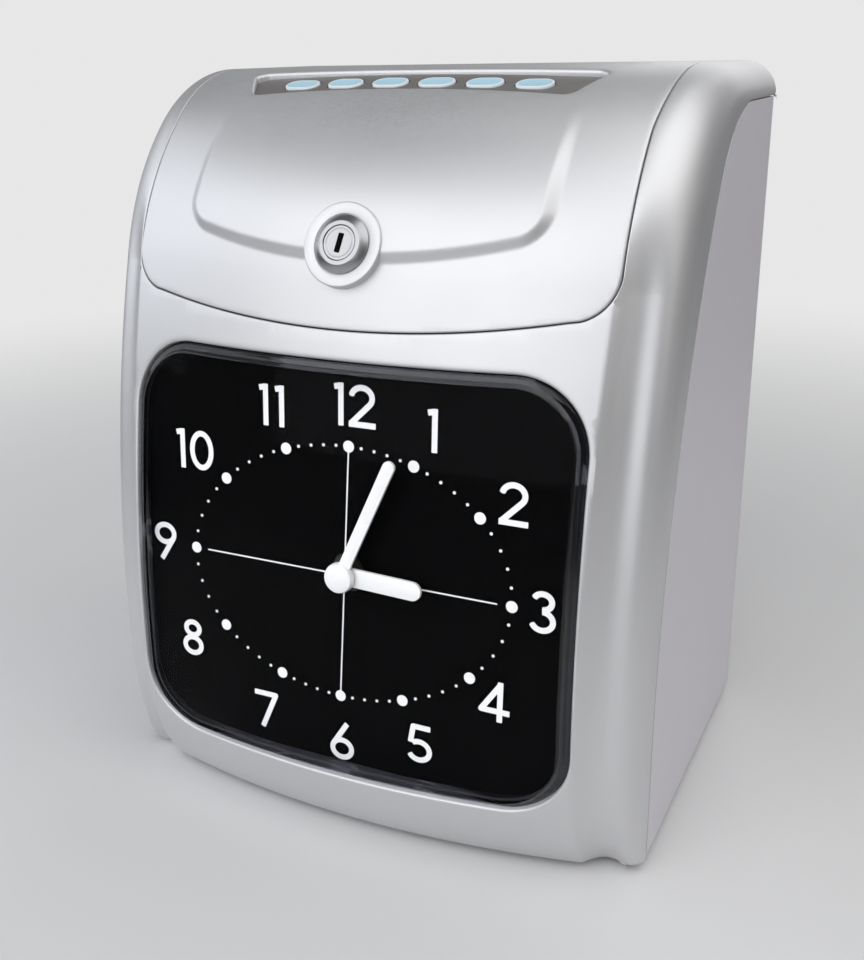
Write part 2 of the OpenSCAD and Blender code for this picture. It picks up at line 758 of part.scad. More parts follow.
// The dial stands clear of the window's top corners and of the front cover beside the window
window_top = window_low + window_h;
dial_z = window_z - 2;
dial_y = max(
    profile_at(lean_at(window_top))[0] + bulge(window_w / 2 - window_r) + lens_in + dial_gap
        - tan(dial_lean) * (window_top - dial_z),
    face_y + bulge(window_w / 2 + dial_lap) + wall_t + dial_gap
        + tan(dial_lean) * (dial_z - window_low - window_r)
);

// Frame on the dial: x across, y up the dial, z out of its front face
module on_dial() {
    translate([0, dial_y, dial_z]) rotate([90 - dial_lean, 0, 0]) children();
}

dial_w = window_w + 2 * dial_lap;
dial_h = window_h + 2 * dial_lap;
dial_up = window_z - dial_z;

module dial_plate() color([0.03, 0.03, 0.035]) on_dial() difference() {
    translate([0, dial_up, -dial_t]) linear_extrude(dial_t) round_rect(dial_w, dial_h, window_r + dial_lap);
    translate([0, 0, -dial_t - 1]) cylinder(h = dial_t + 2, r = neck_dia / 2 + 0.1);
}

// Black frame that carries the dial and closes the space between it and the front cover
dial_frame_t = 2.2;
dial_ledge = 4;
module dial_frame() color([0.05, 0.05, 0.055]) difference() {
    on_dial() translate([0, dial_up, 0]) difference() {
        translate([0, 0, -dial_t - dial_ledge]) linear_extrude(dial_ledge + dial_t + 12) round_rect(
            dial_w + 2 * dial_frame_t + 0.2, dial_h + 2 * dial_frame_t + 0.2, window_r + dial_lap + dial_frame_t);
        translate([0, 0, -dial_t]) linear_extrude(30)
            round_rect(dial_w + 0.2, dial_h + 0.2, window_r + dial_lap);
        translate([0, 0, -dial_t - dial_ledge - 1]) linear_extrude(30)
            round_rect(dial_w - 2 * dial_ledge, dial_h - 2 * dial_ledge, window_r);
    }
    sheet([for (a = full_stations) if (a[0] <= brow_a) a], full_section, -roof_r, wall_t + 0.2);
    intersection() {
        sheet(window_stations, flat_section, -roof_r, wall_t + lens_rim_t + 0.5);
        front_prism(-body_d, 0) intersection() {
            window_outline(lens_rim + 0.3);
            translate([0, window_z]) square([2 * lip_half + 1, 2 * window_h], center = true);
        }
    }
}

// Clock movement, in the dial's frame

hour_teeth = 40;
minute_pinion_teeth = 10;
minute_teeth = 36;
cannon_teeth = 12;
drive_teeth = 60;
clock_pinion_teeth = 12;
minute_m = 2 * train_c / (cannon_teeth + minute_teeth);
hour_m = 2 * train_c / (minute_pinion_teeth + hour_teeth);
motor_c = drive_m * (drive_teeth + clock_pinion_teeth) / 2;

arbor_r = arbor_dia / 2;
pipe_r = pipe_dia / 2;
case_z = -dial_t - 0.2;
plate_t = 1.5;
hour_gear_z = case_z - plate_t - 0.6 - gear_t;
minute_gear_z = hour_gear_z - 0.6 - gear_t;
drive_gear_z = minute_gear_z - 1 - gear_t;
case_back_z = drive_gear_z - 1.2;
arbor_rear_r = 1.2;
stud_over = 0.4;
neck_l = 3.2;
nut_t = 2;
hour_hand_z = neck_l + 0.5;
pipe_end = hour_hand_z + hand_t + 0.4;
minute_hand_z = pipe_end + 0.5;
arbor_end = minute_hand_z + hand_t + 0.6;
minute_reach = train_c + minute_m * (minute_teeth / 2 + 0.85);
pinion_reach = motor_c + drive_m * (clock_pinion_teeth / 2 + 0.85);
case_half = (minute_reach + pinion_reach) / 2 + movement_gap + movement_wall;

module movement_plan(inset) {
    translate([0, (minute_reach - pinion_reach) / 2]) round_rect(2 * (case_half - inset), 2 * (case_half - inset), 4);
}

module movement_case() color([0.2, 0.2, 0.22]) on_dial() difference() {
    union() {
        translate([0, 0, case_back_z]) linear_extrude(case_z - case_back_z) movement_plan(0);
        translate([0, 0, case_z - fuse]) cylinder(h = neck_l - case_z + fuse, r = neck_dia / 2);
        for (s = [-1, 1]) translate([s * (case_half - 4), case_half - 8, case_z - fuse])
            cylinder(h = -dial_t - case_z + fuse, r = 3);
    }
    difference() {
        translate([0, 0, case_back_z - 1]) linear_extrude(case_z - plate_t - case_back_z + 1)
            movement_plan(movement_wall);
        translate([0, train_c, minute_gear_z - stud_over]) cylinder(h = 4 * gear_t, r = arbor_rear_r);
    }
    translate([0, 0, case_back_z]) cylinder(h = 3 * neck_l + 10, r = pipe_r + run_fit);
}

module movement_back() color([0.24, 0.24, 0.26]) on_dial() difference() {
    translate([0, 0, case_back_z - plate_t]) linear_extrude(plate_t) movement_plan(0);
    translate([0, 0, case_back_z - plate_t - 1]) cylinder(h = plate_t + 2, r = arbor_rear_r + run_fit);
    translate([0, -motor_c, case_back_z - plate_t - 1]) cylinder(h = plate_t + 2, r = 2.2);
}

module dial_nut() color([0.75, 0.7, 0.5]) on_dial() difference() {
    cylinder(h = nut_t, r = neck_dia / 2 + 2.4, $fn = 6);
    translate([0, 0, -1]) cylinder(h = nut_t + 2, r = neck_dia / 2);
}

module minute_arbor() color([0.72, 0.62, 0.35]) on_dial() {
    translate([0, 0, drive_gear_z + gear_t]) cylinder(h = arbor_end - drive_gear_z - gear_t, r = arbor_r);
    translate([0, 0, case_back_z - plate_t]) cylinder(h = drive_gear_z + gear_t - case_back_z + plate_t + fuse,
        r = arbor_rear_r);
    translate([0, 0, minute_gear_z]) gear(cannon_teeth, minute_m, gear_t, 90);
}

module drive_wheel() color([0.85, 0.82, 0.7]) on_dial() translate([0, 0, drive_gear_z]) difference() {
    gear(drive_teeth, drive_m, gear_t, 270);
    translate([0, 0, -1]) cylinder(h = gear_t + 2, r = arbor_rear_r);
}

// Minute wheel, which runs on a stud of the movement case
module minute_wheel() color([0.85, 0.82, 0.7]) on_dial() translate([0, train_c, 0]) difference() {
    union() {
        translate([0, 0, minute_gear_z]) gear(minute_teeth, minute_m, gear_t, 270 + 180 / minute_teeth);
        translate([0, 0, minute_gear_z + gear_t - fuse])
            gear(minute_pinion_teeth, hour_m, hour_gear_z - minute_gear_z + fuse, 270);
    }
    translate([0, 0, minute_gear_z - 1]) cylinder(h = 4 * gear_t, r = arbor_rear_r + run_fit);
}

module hour_wheel() color([0.85, 0.82, 0.7]) on_dial() difference() {
    union() {
        translate([0, 0, hour_gear_z]) gear(hour_teeth, hour_m, gear_t, 90 + 180 / hour_teeth);
        translate([0, 0, hour_gear_z]) cylinder(h = pipe_end - hour_gear_z, r = pipe_r);
    }
    translate([0, 0, hour_gear_z - 1]) cylinder(h = pipe_end - hour_gear_z + 2, r = arbor_r + run_fit);
}

hour_angle = 90 + minutes_shown / 2;
minute_angle = 6 * minutes_shown;
hub_r = 5.2;

// Hand that lies along its own +Y, with a round hub and tip
module hand_outline(reach, w, tip_w, hub) {
    circle(hub);
    polygon([[-w / 2, 0], [w / 2, 0], [tip_w / 2, reach - tip_w / 2], [-tip_w / 2, reach - tip_w / 2]]);
    translate([0, reach - tip_w / 2]) circle(tip_w / 2);
}

module hour_hand() color("white") on_dial() translate([0, 0, hour_hand_z]) rotate([0, 0, -hour_angle]) difference() {
    linear_extrude(hand_t) hand_outline(hour_len, hour_hand_w, hour_hand_w, pipe_r + 1.6);
    translate([0, 0, -1]) cylinder(h = hand_t + 2, r = pipe_r);
}

module minute_hand() color("white") on_dial() translate([0, 0, minute_hand_z]) rotate([0, 0, -minute_angle]) {
    difference() {
        linear_extrude(hand_t) hand_outline(minute_len, minute_hand_w, minute_hand_w, hub_r);
        translate([0, 0, -1]) cylinder(h = hand_t + 2, r = arbor_r);
    }
    translate([0, 0, hand_t]) difference() {
        cylinder(h = 1.6, r1 = hub_r, r2 = hub_r - 1);
        translate([0, 0, -1]) cylinder(h = 1 + arbor_end - minute_hand_z - hand_t, r = arbor_r);
    }
}

clock_motor_r = 9;
clock_motor_l = 12;
clock_shaft_r = 0.8;
module clock_motor() color([0.55, 0.55, 0.57]) on_dial() translate([0, -motor_c, case_back_z - plate_t]) difference() {
    union() {
        translate([0, 0, -clock_motor_l]) cylinder(h = clock_motor_l, r = clock_motor_r);
        translate([-clock_motor_r - 4, -2.5, -1]) cube([2 * clock_motor_r + 8, 5, 1]);
    }
    translate([0, 0, -clock_motor_l + 2]) cylinder(h = clock_motor_l, r = clock_shaft_r + run_fit);
}

module clock_pinion() color([0.72, 0.62, 0.35]) on_dial() translate([0, -motor_c, 0]) {
    translate([0, 0, drive_gear_z]) gear(clock_pinion_teeth, drive_m, gear_t, 90 + 180 / clock_pinion_teeth);
    translate([0, 0, case_back_z - plate_t - clock_motor_l + 2.2])
        cylinder(h = drive_gear_z + gear_t - case_back_z + plate_t + clock_motor_l - 2.2, r = clock_shaft_r);
}

// Lock, in the frame on the skin at the lock

lock_ring_t = 1.8;
barrel_l = 22;
plug_r = lock_plug_dia / 2;
barrel_bore_r = plug_r + run_fit;
cam_t = 2;
cam_z = -barrel_l - 0.4 - cam_t;
lock_nut_t = 3.5;

module lock_barrel() color([0.86, 0.86, 0.88]) on_skin(lock_lean) difference() {
    union() {
        translate([0, 0, lock_face]) cylinder(h = lock_ring_t, r1 = lock_ring_dia / 2, r2 = lock_barrel_dia / 2 - 0.6);
        translate([0, 0, -barrel_l]) cylinder(h = barrel_l + lock_face + fuse, r = lock_barrel_dia / 2);
    }
    translate([0, 0, -barrel_l - 1]) cylinder(h = barrel_l + lock_face + lock_ring_t + 2, r = barrel_bore_r);
}

module lock_plug() color([0.82, 0.82, 0.84]) on_skin(lock_lean) difference() {
    union() {
        translate([0, 0, -barrel_l - 0.3]) cylinder(h = barrel_l + lock_face + lock_ring_t + 0.1, r = plug_r);
        translate([0, 0, cam_z]) cylinder(h = cam_t + 0.2 + fuse, r = plug_r - 2);
    }
    translate([-1.1, -3.6, lock_face + lock_ring_t - 12]) cube([2.2, 7.2, 13]);
    translate([0, 0, cam_z - 1]) cylinder(h = 6, r = screw_r);
}

module lock_cam() color([0.7, 0.7, 0.72]) on_skin(lock_lean) translate([0, 0, cam_z]) difference() {
    linear_extrude(cam_t) {
        circle(plug_r + 1);
        translate([0, -4.5]) square([cam_reach - 4.5, 9]);
        translate([cam_reach - 4.5, 0]) circle(4.5);
    }
    translate([0, 0, -1]) cylinder(h = cam_t + 2, r = plug_r - 2);
}

module lock_nut() color([0.7, 0.7, 0.72]) on_skin(lock_lean) translate([0, 0, -lock_seat - lock_nut_t]) difference() {
    cylinder(h = lock_nut_t, r = lock_barrel_dia / 2 + 3.4, $fn = 6);
    translate([0, 0, -1]) cylinder(h = lock_nut_t + 2, r = lock_barrel_dia / 2);
}

module cam_screw() color([0.62, 0.62, 0.64]) on_skin(lock_lean) translate([0, 0, cam_z]) screw(4);

// Steel catch on the front cover, with the cam's path behind it
catch_lip = 6;
module lock_catch() color([0.66, 0.66, 0.68]) {
    plate_z = cam_z + cam_t + clear;
    plate_p = profile_at(lock_lean);
    low_v = (plate_p[1] - plate_z * -sin(lock_lean) - catch_z) / cos(lock_lean);
    difference() {
        union() {
            on_skin(lock_lean) block([-catch_w / 2, -low_v, plate_z],
                [catch_w / 2, -cam_reach + catch_lip, plate_z + catch_t]);
            intersection() {
                block([-catch_w / 2, face_y, catch_z - catch_t / 2], [catch_w / 2, 0, catch_z + catch_t / 2]);
                on_skin(lock_lean) block([-catch_w, -200, plate_z], [catch_w, 200, 200]);
            }
        }
        sheet([for (a = steps(lean_at(catch_z - 12), brow_a, 4)) [a]], flat_section, -40, wall_t);
    }
}

// Function keys, in the frame on the skin at the keys

module key(i) {
    if (i < key_count) on_skin(key_lean) translate([(i - (key_count - 1) / 2) * key_pitch, 0, -recess_d]) {
        translate([0, 0, -tray_t - key_stroke_gap - fuse]) linear_extrude(tray_t + key_stroke_gap + fuse + 1.4)
            oval(key_w, key_d);
        translate([0, 0, -tray_t - key_stroke_gap - key_flange_t]) linear_extrude(key_flange_t)
            oval(key_w + 2, key_d + 2);
        translate([0, 0, -tray_t - key_stroke_gap - key_flange_t - key_stem_l + key_travel])
            cylinder(h = key_stem_l - key_travel + fuse, r = 1.5);
    }
}

module key_1() color([0.66, 0.83, 0.93]) key(0);
module key_2() color([0.66, 0.83, 0.93]) key(1);
module key_3() color([0.66, 0.83, 0.93]) key(2);
module key_4() color([0.66, 0.83, 0.93]) key(3);
module key_5() color([0.66, 0.83, 0.93]) key(4);
module key_6() color([0.66, 0.83, 0.93]) key(5);

module key_board() color([0.1, 0.35, 0.18]) on_skin(key_lean) translate([0, 0, key_board_z - board_t])
    linear_extrude(board_t) square([2 * board_post_x + 4, recess_depth_y - 5], center = true);

module key_switches() color([0.15, 0.15, 0.16]) on_skin(key_lean) each_key() translate([0, 0, key_board_z])
    linear_extrude(switch_h) square(6, center = true);

// Print unit

cheek_x = frame_w / 2;
pulley_x = cheek_x - pulley_in;
cheek_in = cheek_x - sheet_t;
rod_y_at = print_y + 12;
rod_z = [head_z - rod_gap / 2, head_z + rod_gap / 2];
belt_y = print_y;
shelf_z = head_z - 24;
cradle_z = head_z - 2;
cradle_y = [print_y - 30, print_y - 12];
belt_t = 0.8;
belt_h = 6;
pulley_h = 8;
belt_r = pulley_r + 0.05;
motor_shaft_r = 1.5;
feed_y = card_y - card_gap / 2 - feed_r - 0.1;
feed_teeth = 36;
feed_pinion_teeth = 12;
feed_c = feed_m * (feed_teeth + feed_pinion_teeth) / 2;
feed_shaft_r = 2;
feed_motor_r = 10;
frame_top = head_z + 20;
frame_low = feed_z - 34;

module print_frame() color([0.75, 0.76, 0.78]) difference() {
    union() {
        for (s = [-1, 1]) translate([s * (cheek_x - sheet_t / 2), 0, 0]) side_prism(sheet_t) polygon([
            [cradle_y[0], shelf_z], [cradle_y[0], cradle_z - 1], [print_y - 4, head_z + 8], [print_y + 7, frame_top],
            [frame_rear_y, frame_top], [frame_rear_y, frame_low], [feed_y - feed_c - 14, frame_low], [print_y + 10, shelf_z]
        ]);
        block([-cheek_x, frame_rear_y - sheet_t, frame_low], [cheek_x, frame_rear_y, frame_top]);
        block([-cheek_in - fuse, belt_y - 12, shelf_z], [cheek_in + fuse, belt_y + 6, shelf_z + sheet_t]);
        block([-cheek_in - fuse, cradle_y[0], cradle_z - sheet_t], [cheek_in + fuse, cradle_y[1] - clear, cradle_z]);
    }
    for (z = rod_z) translate([0, rod_y_at, z]) rod_x(-body_w, body_w, rod_dia / 2);
    translate([0, feed_y, feed_z]) rod_x(-body_w, body_w, feed_shaft_r + run_fit);
    each_frame_boss() rod_y(frame_rear_y - 3, frame_rear_y + 1, screw_r + 0.2);
    translate([-pulley_x, belt_y, shelf_z - 1]) cylinder(h = 4, r = motor_shaft_r + 1);
    translate([pulley_x, belt_y, shelf_z - 1]) cylinder(h = 4, r = motor_shaft_r);
    translate([-cheek_x, feed_y - feed_c, feed_z]) rod_x(-3, 3, motor_shaft_r + 1);
}

module frame_screws() color([0.62, 0.62, 0.64]) each_frame_boss() translate([0, frame_rear_y - sheet_t, 0])
    rotate([-90, 0, 0]) screw(sheet_t + frame_screw_l);

module carriage_rods() color([0.7, 0.7, 0.72]) for (z = rod_z) translate([0, rod_y_at, z])
    rod_x(-cheek_x, cheek_x, rod_dia / 2);

carriage_half = 15;
carriage_rear = rod_y_at + 6.5;
module carriage() color([0.16, 0.16, 0.17]) difference() {
    union() {
        block([-carriage_half, rod_y_at - 5, rod_z[0] - 5], [carriage_half, carriage_rear, rod_z[1] + 5]);
        block([-5, belt_y + belt_r + belt_t + 0.3, head_z - 3], [5, rod_y_at, head_z + 3]);
    }
    for (z = rod_z) translate([0, rod_y_at, z]) rod_x(-body_w, body_w, rod_dia / 2 + run_fit);
}

guide_front_y = card_y - card_gap / 2 - card_wall;
ribbon_t = 0.6;
ribbon_y = guide_front_y - 0.4 - ribbon_t;
head_tip_y = ribbon_y - clear;
module print_head() color([0.35, 0.36, 0.38]) translate([0, 0, head_z]) {
    rod_y(carriage_rear, carriage_rear + 18, 9);
    for (i = [0:3]) rod_y(carriage_rear + 3 + 4 * i, carriage_rear + 5 + 4 * i, 10.5);
    rod_y(carriage_rear + 18 - fuse, head_tip_y, 3.5);
}

module belt() color([0.1, 0.1, 0.1]) translate([0, belt_y, head_z - belt_h / 2]) linear_extrude(belt_h) difference() {
    oval(2 * (pulley_x + belt_r + belt_t), 2 * (belt_r + belt_t));
    oval(2 * (pulley_x + belt_r), 2 * belt_r);
}

module pulley() {
    difference() {
        cylinder(h = pulley_h - 0.6, r = pulley_r, center = true);
        for (i = [0:11]) rotate([0, 0, 30 * i]) translate([pulley_r, 0, 0])
            cylinder(h = belt_h, r = 0.5, center = true, $fn = 16);
    }
    for (s = [-1, 1]) translate([0, 0, s * (pulley_h / 2 - 0.3)]) cylinder(h = 0.6, r = pulley_r + 1.2, center = true);
}

module motor_pulley() color([0.8, 0.8, 0.78]) translate([-pulley_x, belt_y, head_z]) {
    pulley();
    translate([0, 0, shelf_z - head_z - 14]) cylinder(h = head_z - shelf_z + 14, r = motor_shaft_r);
}

module idler_pulley() color([0.8, 0.8, 0.78]) translate([pulley_x, belt_y, head_z]) difference() {
    pulley();
    cylinder(h = 2 * pulley_h, r = motor_shaft_r + run_fit, center = true);
}

module idler_post() color([0.7, 0.7, 0.72]) {
    translate([pulley_x, belt_y, shelf_z]) cylinder(h = head_z - shelf_z + pulley_h / 2, r = motor_shaft_r);
    translate([pulley_x, belt_y, shelf_z + sheet_t])
        cylinder(h = head_z - pulley_h / 2 - 0.2 - shelf_z - sheet_t, r = motor_shaft_r + 1.5);
}

carriage_motor_r = 13;
module carriage_motor() color([0.55, 0.55, 0.57]) translate([-pulley_x, belt_y, shelf_z]) difference() {
    union() {
        translate([0, 0, -26]) cylinder(h = 26, r = carriage_motor_r);
        translate([-16, -5, -1]) cube([32, 10, 1]);
    }
    translate([0, 0, -14.2]) cylinder(h = 20, r = motor_shaft_r + run_fit);
}

cartridge_half = cheek_in - 4;
cartridge_h = 12;
prong_w = 4;
module ribbon_cartridge() color([0.13, 0.13, 0.14]) difference() {
    union() {
        block([-cartridge_half, cradle_y[0] + 3, cradle_z], [cartridge_half, cradle_y[1], cradle_z + cartridge_h]);
        for (s = [-1, 1]) block(
            [s * (cartridge_half - prong_w / 2) - prong_w / 2, cradle_y[1] - fuse, head_z - 5],
            [s * (cartridge_half - prong_w / 2) + prong_w / 2, ribbon_y, head_z + 5]
        );
    }
    translate([knob_x, knob_y, cradle_z + 2]) cylinder(h = cartridge_h, r = 3 + run_fit);
}

module ribbon() color([0.25, 0.1, 0.35]) block([-cartridge_half, ribbon_y, head_z - 5],
    [cartridge_half, ribbon_y + ribbon_t, head_z + 5]);

knob_x = 30;
knob_y = cradle_y[1] - 6;
module ribbon_knob() color([0.2, 0.35, 0.75]) translate([knob_x, knob_y, cradle_z]) {
    translate([0, 0, 2.3]) cylinder(h = cartridge_h, r = 3);
    translate([0, 0, cartridge_h + 0.3]) difference() {
        cylinder(h = 3.2, r = 5);
        for (i = [0:11]) rotate([0, 0, 30 * i]) translate([5.3, 0, -1]) cylinder(h = 6, r = 0.7, $fn = 16);
    }
}

// Card pocket: front and back walls, closed at the sides and the foot
pocket_top = body_h - wall_t - 0.2;
pocket_low = card_foot;
print_half = 31;
module card_guide() color([0.3, 0.31, 0.33]) difference() {
    union() {
        block([-card_w / 2 - card_wall, guide_front_y, pocket_low - card_wall],
            [card_w / 2 + card_wall, card_y + card_gap / 2 + card_wall, pocket_top]);
        block([-cheek_in, card_y + card_gap / 2, frame_low], [cheek_in, card_y + card_gap / 2 + card_wall, frame_top]);
    }
    block([-card_w / 2, card_y - card_gap / 2, pocket_low], [card_w / 2, card_y + card_gap / 2, body_h]);
    block([-print_half, guide_front_y - 1, head_z - 7], [print_half, card_y, head_z + 7]);
    for (s = [-1, 1]) block([s * 26 - 8, guide_front_y - 1, feed_z - feed_r - 1], [s * 26 + 8, card_y, feed_z + feed_r + 1]);
}

module feed_shaft() color([0.7, 0.7, 0.72]) translate([0, feed_y, feed_z])
    rod_x(-cheek_x - 6, cheek_x + 2, feed_shaft_r);

module feed_rollers() color([0.15, 0.15, 0.15]) translate([0, feed_y, feed_z]) for (s = [-1, 1]) difference() {
    rod_x(s * 26 - 7, s * 26 + 7, feed_r);
    rod_x(s * 26 - 8, s * 26 + 8, feed_shaft_r);
}

// Feed gears turn in the plane x = const: their outline's x is -z of the body
module feed_gear() color([0.9, 0.9, 0.88]) translate([-cheek_x - 5, feed_y, feed_z]) rotate([0, 90, 0]) difference() {
    gear(feed_teeth, feed_m, 4, 270);
    translate([0, 0, -1]) cylinder(h = 6, r = feed_shaft_r);
}

module feed_pinion() color([0.72, 0.62, 0.35]) translate([0, feed_y - feed_c, feed_z]) {
    translate([-cheek_x - 5, 0, 0]) rotate([0, 90, 0]) gear(feed_pinion_teeth, feed_m, 4, 90 + 180 / feed_pinion_teeth);
    rod_x(-cheek_x - 5, -cheek_in + 12, motor_shaft_r);
}

module feed_motor() color([0.55, 0.55, 0.57]) translate([0, feed_y - feed_c, feed_z]) difference() {
    union() {
        rod_x(-cheek_in, -cheek_in + 24, feed_motor_r);
        block([-cheek_in, -3, -14], [-cheek_in + 1, 3, 14]);
    }
    rod_x(-cheek_in - 1, -cheek_in + 12.2, motor_shaft_r + run_fit);
}

// Electronics

module main_board() color([0.08, 0.32, 0.16]) difference() {
    block([board_x0, board_y0, board_z], [board_x0 + board_w, board_y0 + board_d, board_z + board_t]);
    each_standoff() cylinder(h = board_z + 10, r = screw_r + 0.1);
}

// Places on the board are shares of its width and depth
module on_board(u, v) {
    translate([board_x0 + u * board_w, board_y0 + v * board_d, board_z + board_t]) children();
}

module board_parts() color([0.14, 0.14, 0.15]) {
    on_board(0.5, 0.5) linear_extrude(2.5) square([20, 20], center = true);
    on_board(0.75, 0.5) linear_extrude(2) square([10, 16], center = true);
    on_board(0.3, 0.42) linear_extrude(2) square([16, 9], center = true);
    for (i = [0:2]) on_board(0.2 + 0.12 * i, 0.75) cylinder(h = 16, r = 5);
    for (i = [0:2]) on_board(0.3 + 0.22 * i, 0.1) linear_extrude(8) square([18, 6], center = true);
    on_board(0.86, 0.78) cylinder(h = 9, r = 8);
}

module backup_battery() color([0.75, 0.2, 0.2]) on_board(0.66, 0.8) {
    for (s = [-1, 0, 1]) translate([0, 7.2 * s, 7.2]) rod_x(-15, 15, 7.2 - 0.1 * abs(s));
    linear_extrude(5) square([28, 20], center = true);
}

module transformer() color([0.35, 0.33, 0.3]) translate([core_x, core_y, floor_z]) {
    block([-core_w / 2, -core_d / 2, 2], [core_w / 2, core_d / 2, core_h]);
    block([-core_w / 2 - core_foot, -core_d / 4, 0], [core_w / 2 + core_foot, core_d / 4, 2 + fuse]);
    block([-core_w / 4, -core_d / 2 - 7, 8], [core_w / 4, core_d / 2 + 7, core_h - 6]);
}

module power_inlet() color([0.08, 0.08, 0.09]) translate([inlet_x, 0, inlet_z]) {
    difference() {
        union() {
            block([-inlet_w / 2 - inlet_wall, rear_in - inlet_deep, -inlet_h / 2 - inlet_wall],
                [inlet_w / 2 + inlet_wall, rear_y, inlet_h / 2 + inlet_wall]);
            block([-inlet_w / 2 - 6, rear_in - 2, -inlet_h / 2 - 5], [inlet_w / 2 + 6, rear_in, inlet_h / 2 + 5]);
        }
        block([-inlet_w / 2, rear_in - inlet_deep + inlet_wall, -inlet_h / 2], [inlet_w / 2, rear_y + 1, inlet_h / 2]);
    }
    for (s = [-1, 1]) block([s * 5 - 1, rear_in - inlet_deep, -2], [s * 5 + 1, rear_in - inlet_deep + 7, 2]);
}

front_cover();
rear_housing();
rubber_feet();
housing_screws();
top_cover();
hinge_pins();
window_lens();
dial_plate();
dial_frame();
movement_case();
movement_back();
dial_nut();
minute_arbor();
drive_wheel();
minute_wheel();
hour_wheel();
hour_hand();
minute_hand();
clock_motor();
clock_pinion();
lock_barrel();
lock_plug();
lock_cam();
lock_nut();
cam_screw();
lock_catch();
key_1();
key_2();
key_3();
key_4();
key_5();
key_6();
key_board();
key_switches();
print_frame();
frame_screws();
carriage_rods();
carriage();
print_head();
belt();
motor_pulley();
idler_pulley();
idler_post();
carriage_motor();
ribbon_cartridge();
ribbon();
ribbon_knob();
card_guide();
feed_shaft();
feed_rollers();
feed_gear();
feed_motor();
feed_pinion();
main_board();
board_parts();
backup_battery();
transformer();
power_inlet();
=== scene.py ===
"""Punch-card time recorder: silver front, lockable top cover, dial behind a clear window."""
import math

import bpy
import numpy as np
from mathutils import Matrix, Vector
from mathutils.geometry import delaunay_2d_cdt


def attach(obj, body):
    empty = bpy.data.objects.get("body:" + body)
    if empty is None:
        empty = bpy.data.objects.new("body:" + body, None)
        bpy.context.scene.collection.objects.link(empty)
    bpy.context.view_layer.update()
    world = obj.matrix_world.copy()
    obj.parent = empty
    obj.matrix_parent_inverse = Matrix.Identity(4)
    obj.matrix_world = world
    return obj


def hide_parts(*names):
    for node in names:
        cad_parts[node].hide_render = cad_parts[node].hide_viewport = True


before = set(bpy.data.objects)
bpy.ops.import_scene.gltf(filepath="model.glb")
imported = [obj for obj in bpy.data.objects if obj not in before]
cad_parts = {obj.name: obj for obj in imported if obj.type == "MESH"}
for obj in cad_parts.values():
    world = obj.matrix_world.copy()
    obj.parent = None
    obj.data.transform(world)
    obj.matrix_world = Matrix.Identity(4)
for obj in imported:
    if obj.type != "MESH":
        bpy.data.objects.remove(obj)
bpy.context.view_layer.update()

bl_info = {
    "name": "Time clock builder",
    "version": (1, 0, 0),
    "blender": (4, 5, 0),
    "location": "View3D > Sidebar > Time clock",
    "description": "Builds the visible pieces of a punch-card time recorder on its CAD frame",
    "category": "Object",
}

MM = 0.001
TINY = 1e-9


def length(name, words, mm):
    """A size that a user can change, kept in metres."""
    return bpy.props.FloatProperty(
        name=name, description=words, default=mm * MM, min=0.0, unit="LENGTH", precision=5
    )


def angle(name, words, degrees):
    """An angle that a user can change."""
    return bpy.props.FloatProperty(
        name=name, description=words, default=math.radians(degrees), unit="ROTATION"
    )


def tint(name, words, rgb):
    """A colour that a user can change."""
    return bpy.props.FloatVectorProperty(
        name=name, description=words, default=rgb, size=3, min=0.0, max=1.0, subtype="COLOR"
    )


class ClockCaseSizes(bpy.types.PropertyGroup):
    """Sizes of the moulded case."""

    width: length("Width", "Across the side walls", 206.0)
    depth: length("Depth", "From the window to the back wall", 168.0)
    height: length("Height", "From the feet to the roof", 257.0)
    wall: length("Wall", "Thickness of the moulded shells", 2.5)
    foot: length("Foot height", "Height of the rubber feet", 1.5)
    seam: length("Seam gap", "Gap between two shells", 0.4)
    face_height: length("Upright height", "Height at which the face stands upright", 46.0)
    face_radius: length("Face radius", "Radius of the face in side view", 500.0)
    bulge_radius: length("Bulge radius", "Radius of the face in plan", 357.0)
    chin_set: length("Chin setback", "Setback of the chin at its foot", 15.0)
    brow_height: length("Brow height", "Height of the brow", 44.0)
    crown_height: length("Crown height", "Height of the crown", 17.0)
    crown_lean: angle("Crown lean", "Lean where brow meets crown", 47.0)
    corner_width: length("Corner width", "Width of the corner between face and side", 20.0)
    corner_depth: length("Corner depth", "Depth of the corner between face and side", 17.0)
    roof_radius: length("Roof corner", "Corner radius between roof and side", 12.0)
    flute_depth: length("Flute depth", "Depth of the flute down each side", 4.5)
    side_set: length("Side setback", "From the face back to the side seam", 33.0)
    side_radius: length("Side seam radius", "Radius of the side seam", 340.0)
    side_turn: length("Side seam turn", "Height over which the side seam turns back", 24.0)


class ClockDialSizes(bpy.types.PropertyGroup):
    """Sizes of the window and the dial."""

    window_width: length("Window width", "Width of the window opening", 165.0)
    window_height: length("Window height", "Height of the window opening", 144.0)
    window_radius: length("Window corner", "Corner radius of the window", 24.0)
    window_middle: length("Window middle", "Height of the window's middle", 100.0)
    lens_proud: length("Window proud", "How far the window stands out", 0.8)
    lens_thick: length("Window thickness", "Thickness of the clear window", 3.0)
    dial_set: length("Dial setback", "From the face back to the dial", 19.9553)
    dial_middle: length("Dial middle", "Height of the dial's middle", 98.0)
    dial_lean: angle("Dial lean", "Lean of the dial", 5.0)
    numeral_height: length("Numeral height", "Height of the hour numbers", 14.2)
    numeral_stroke: length("Numeral stroke", "Stroke width of the hour numbers", 1.95)
    minutes: bpy.props.FloatProperty(
        name="Minutes past three", description="Time that the hands show", default=4.0
    )


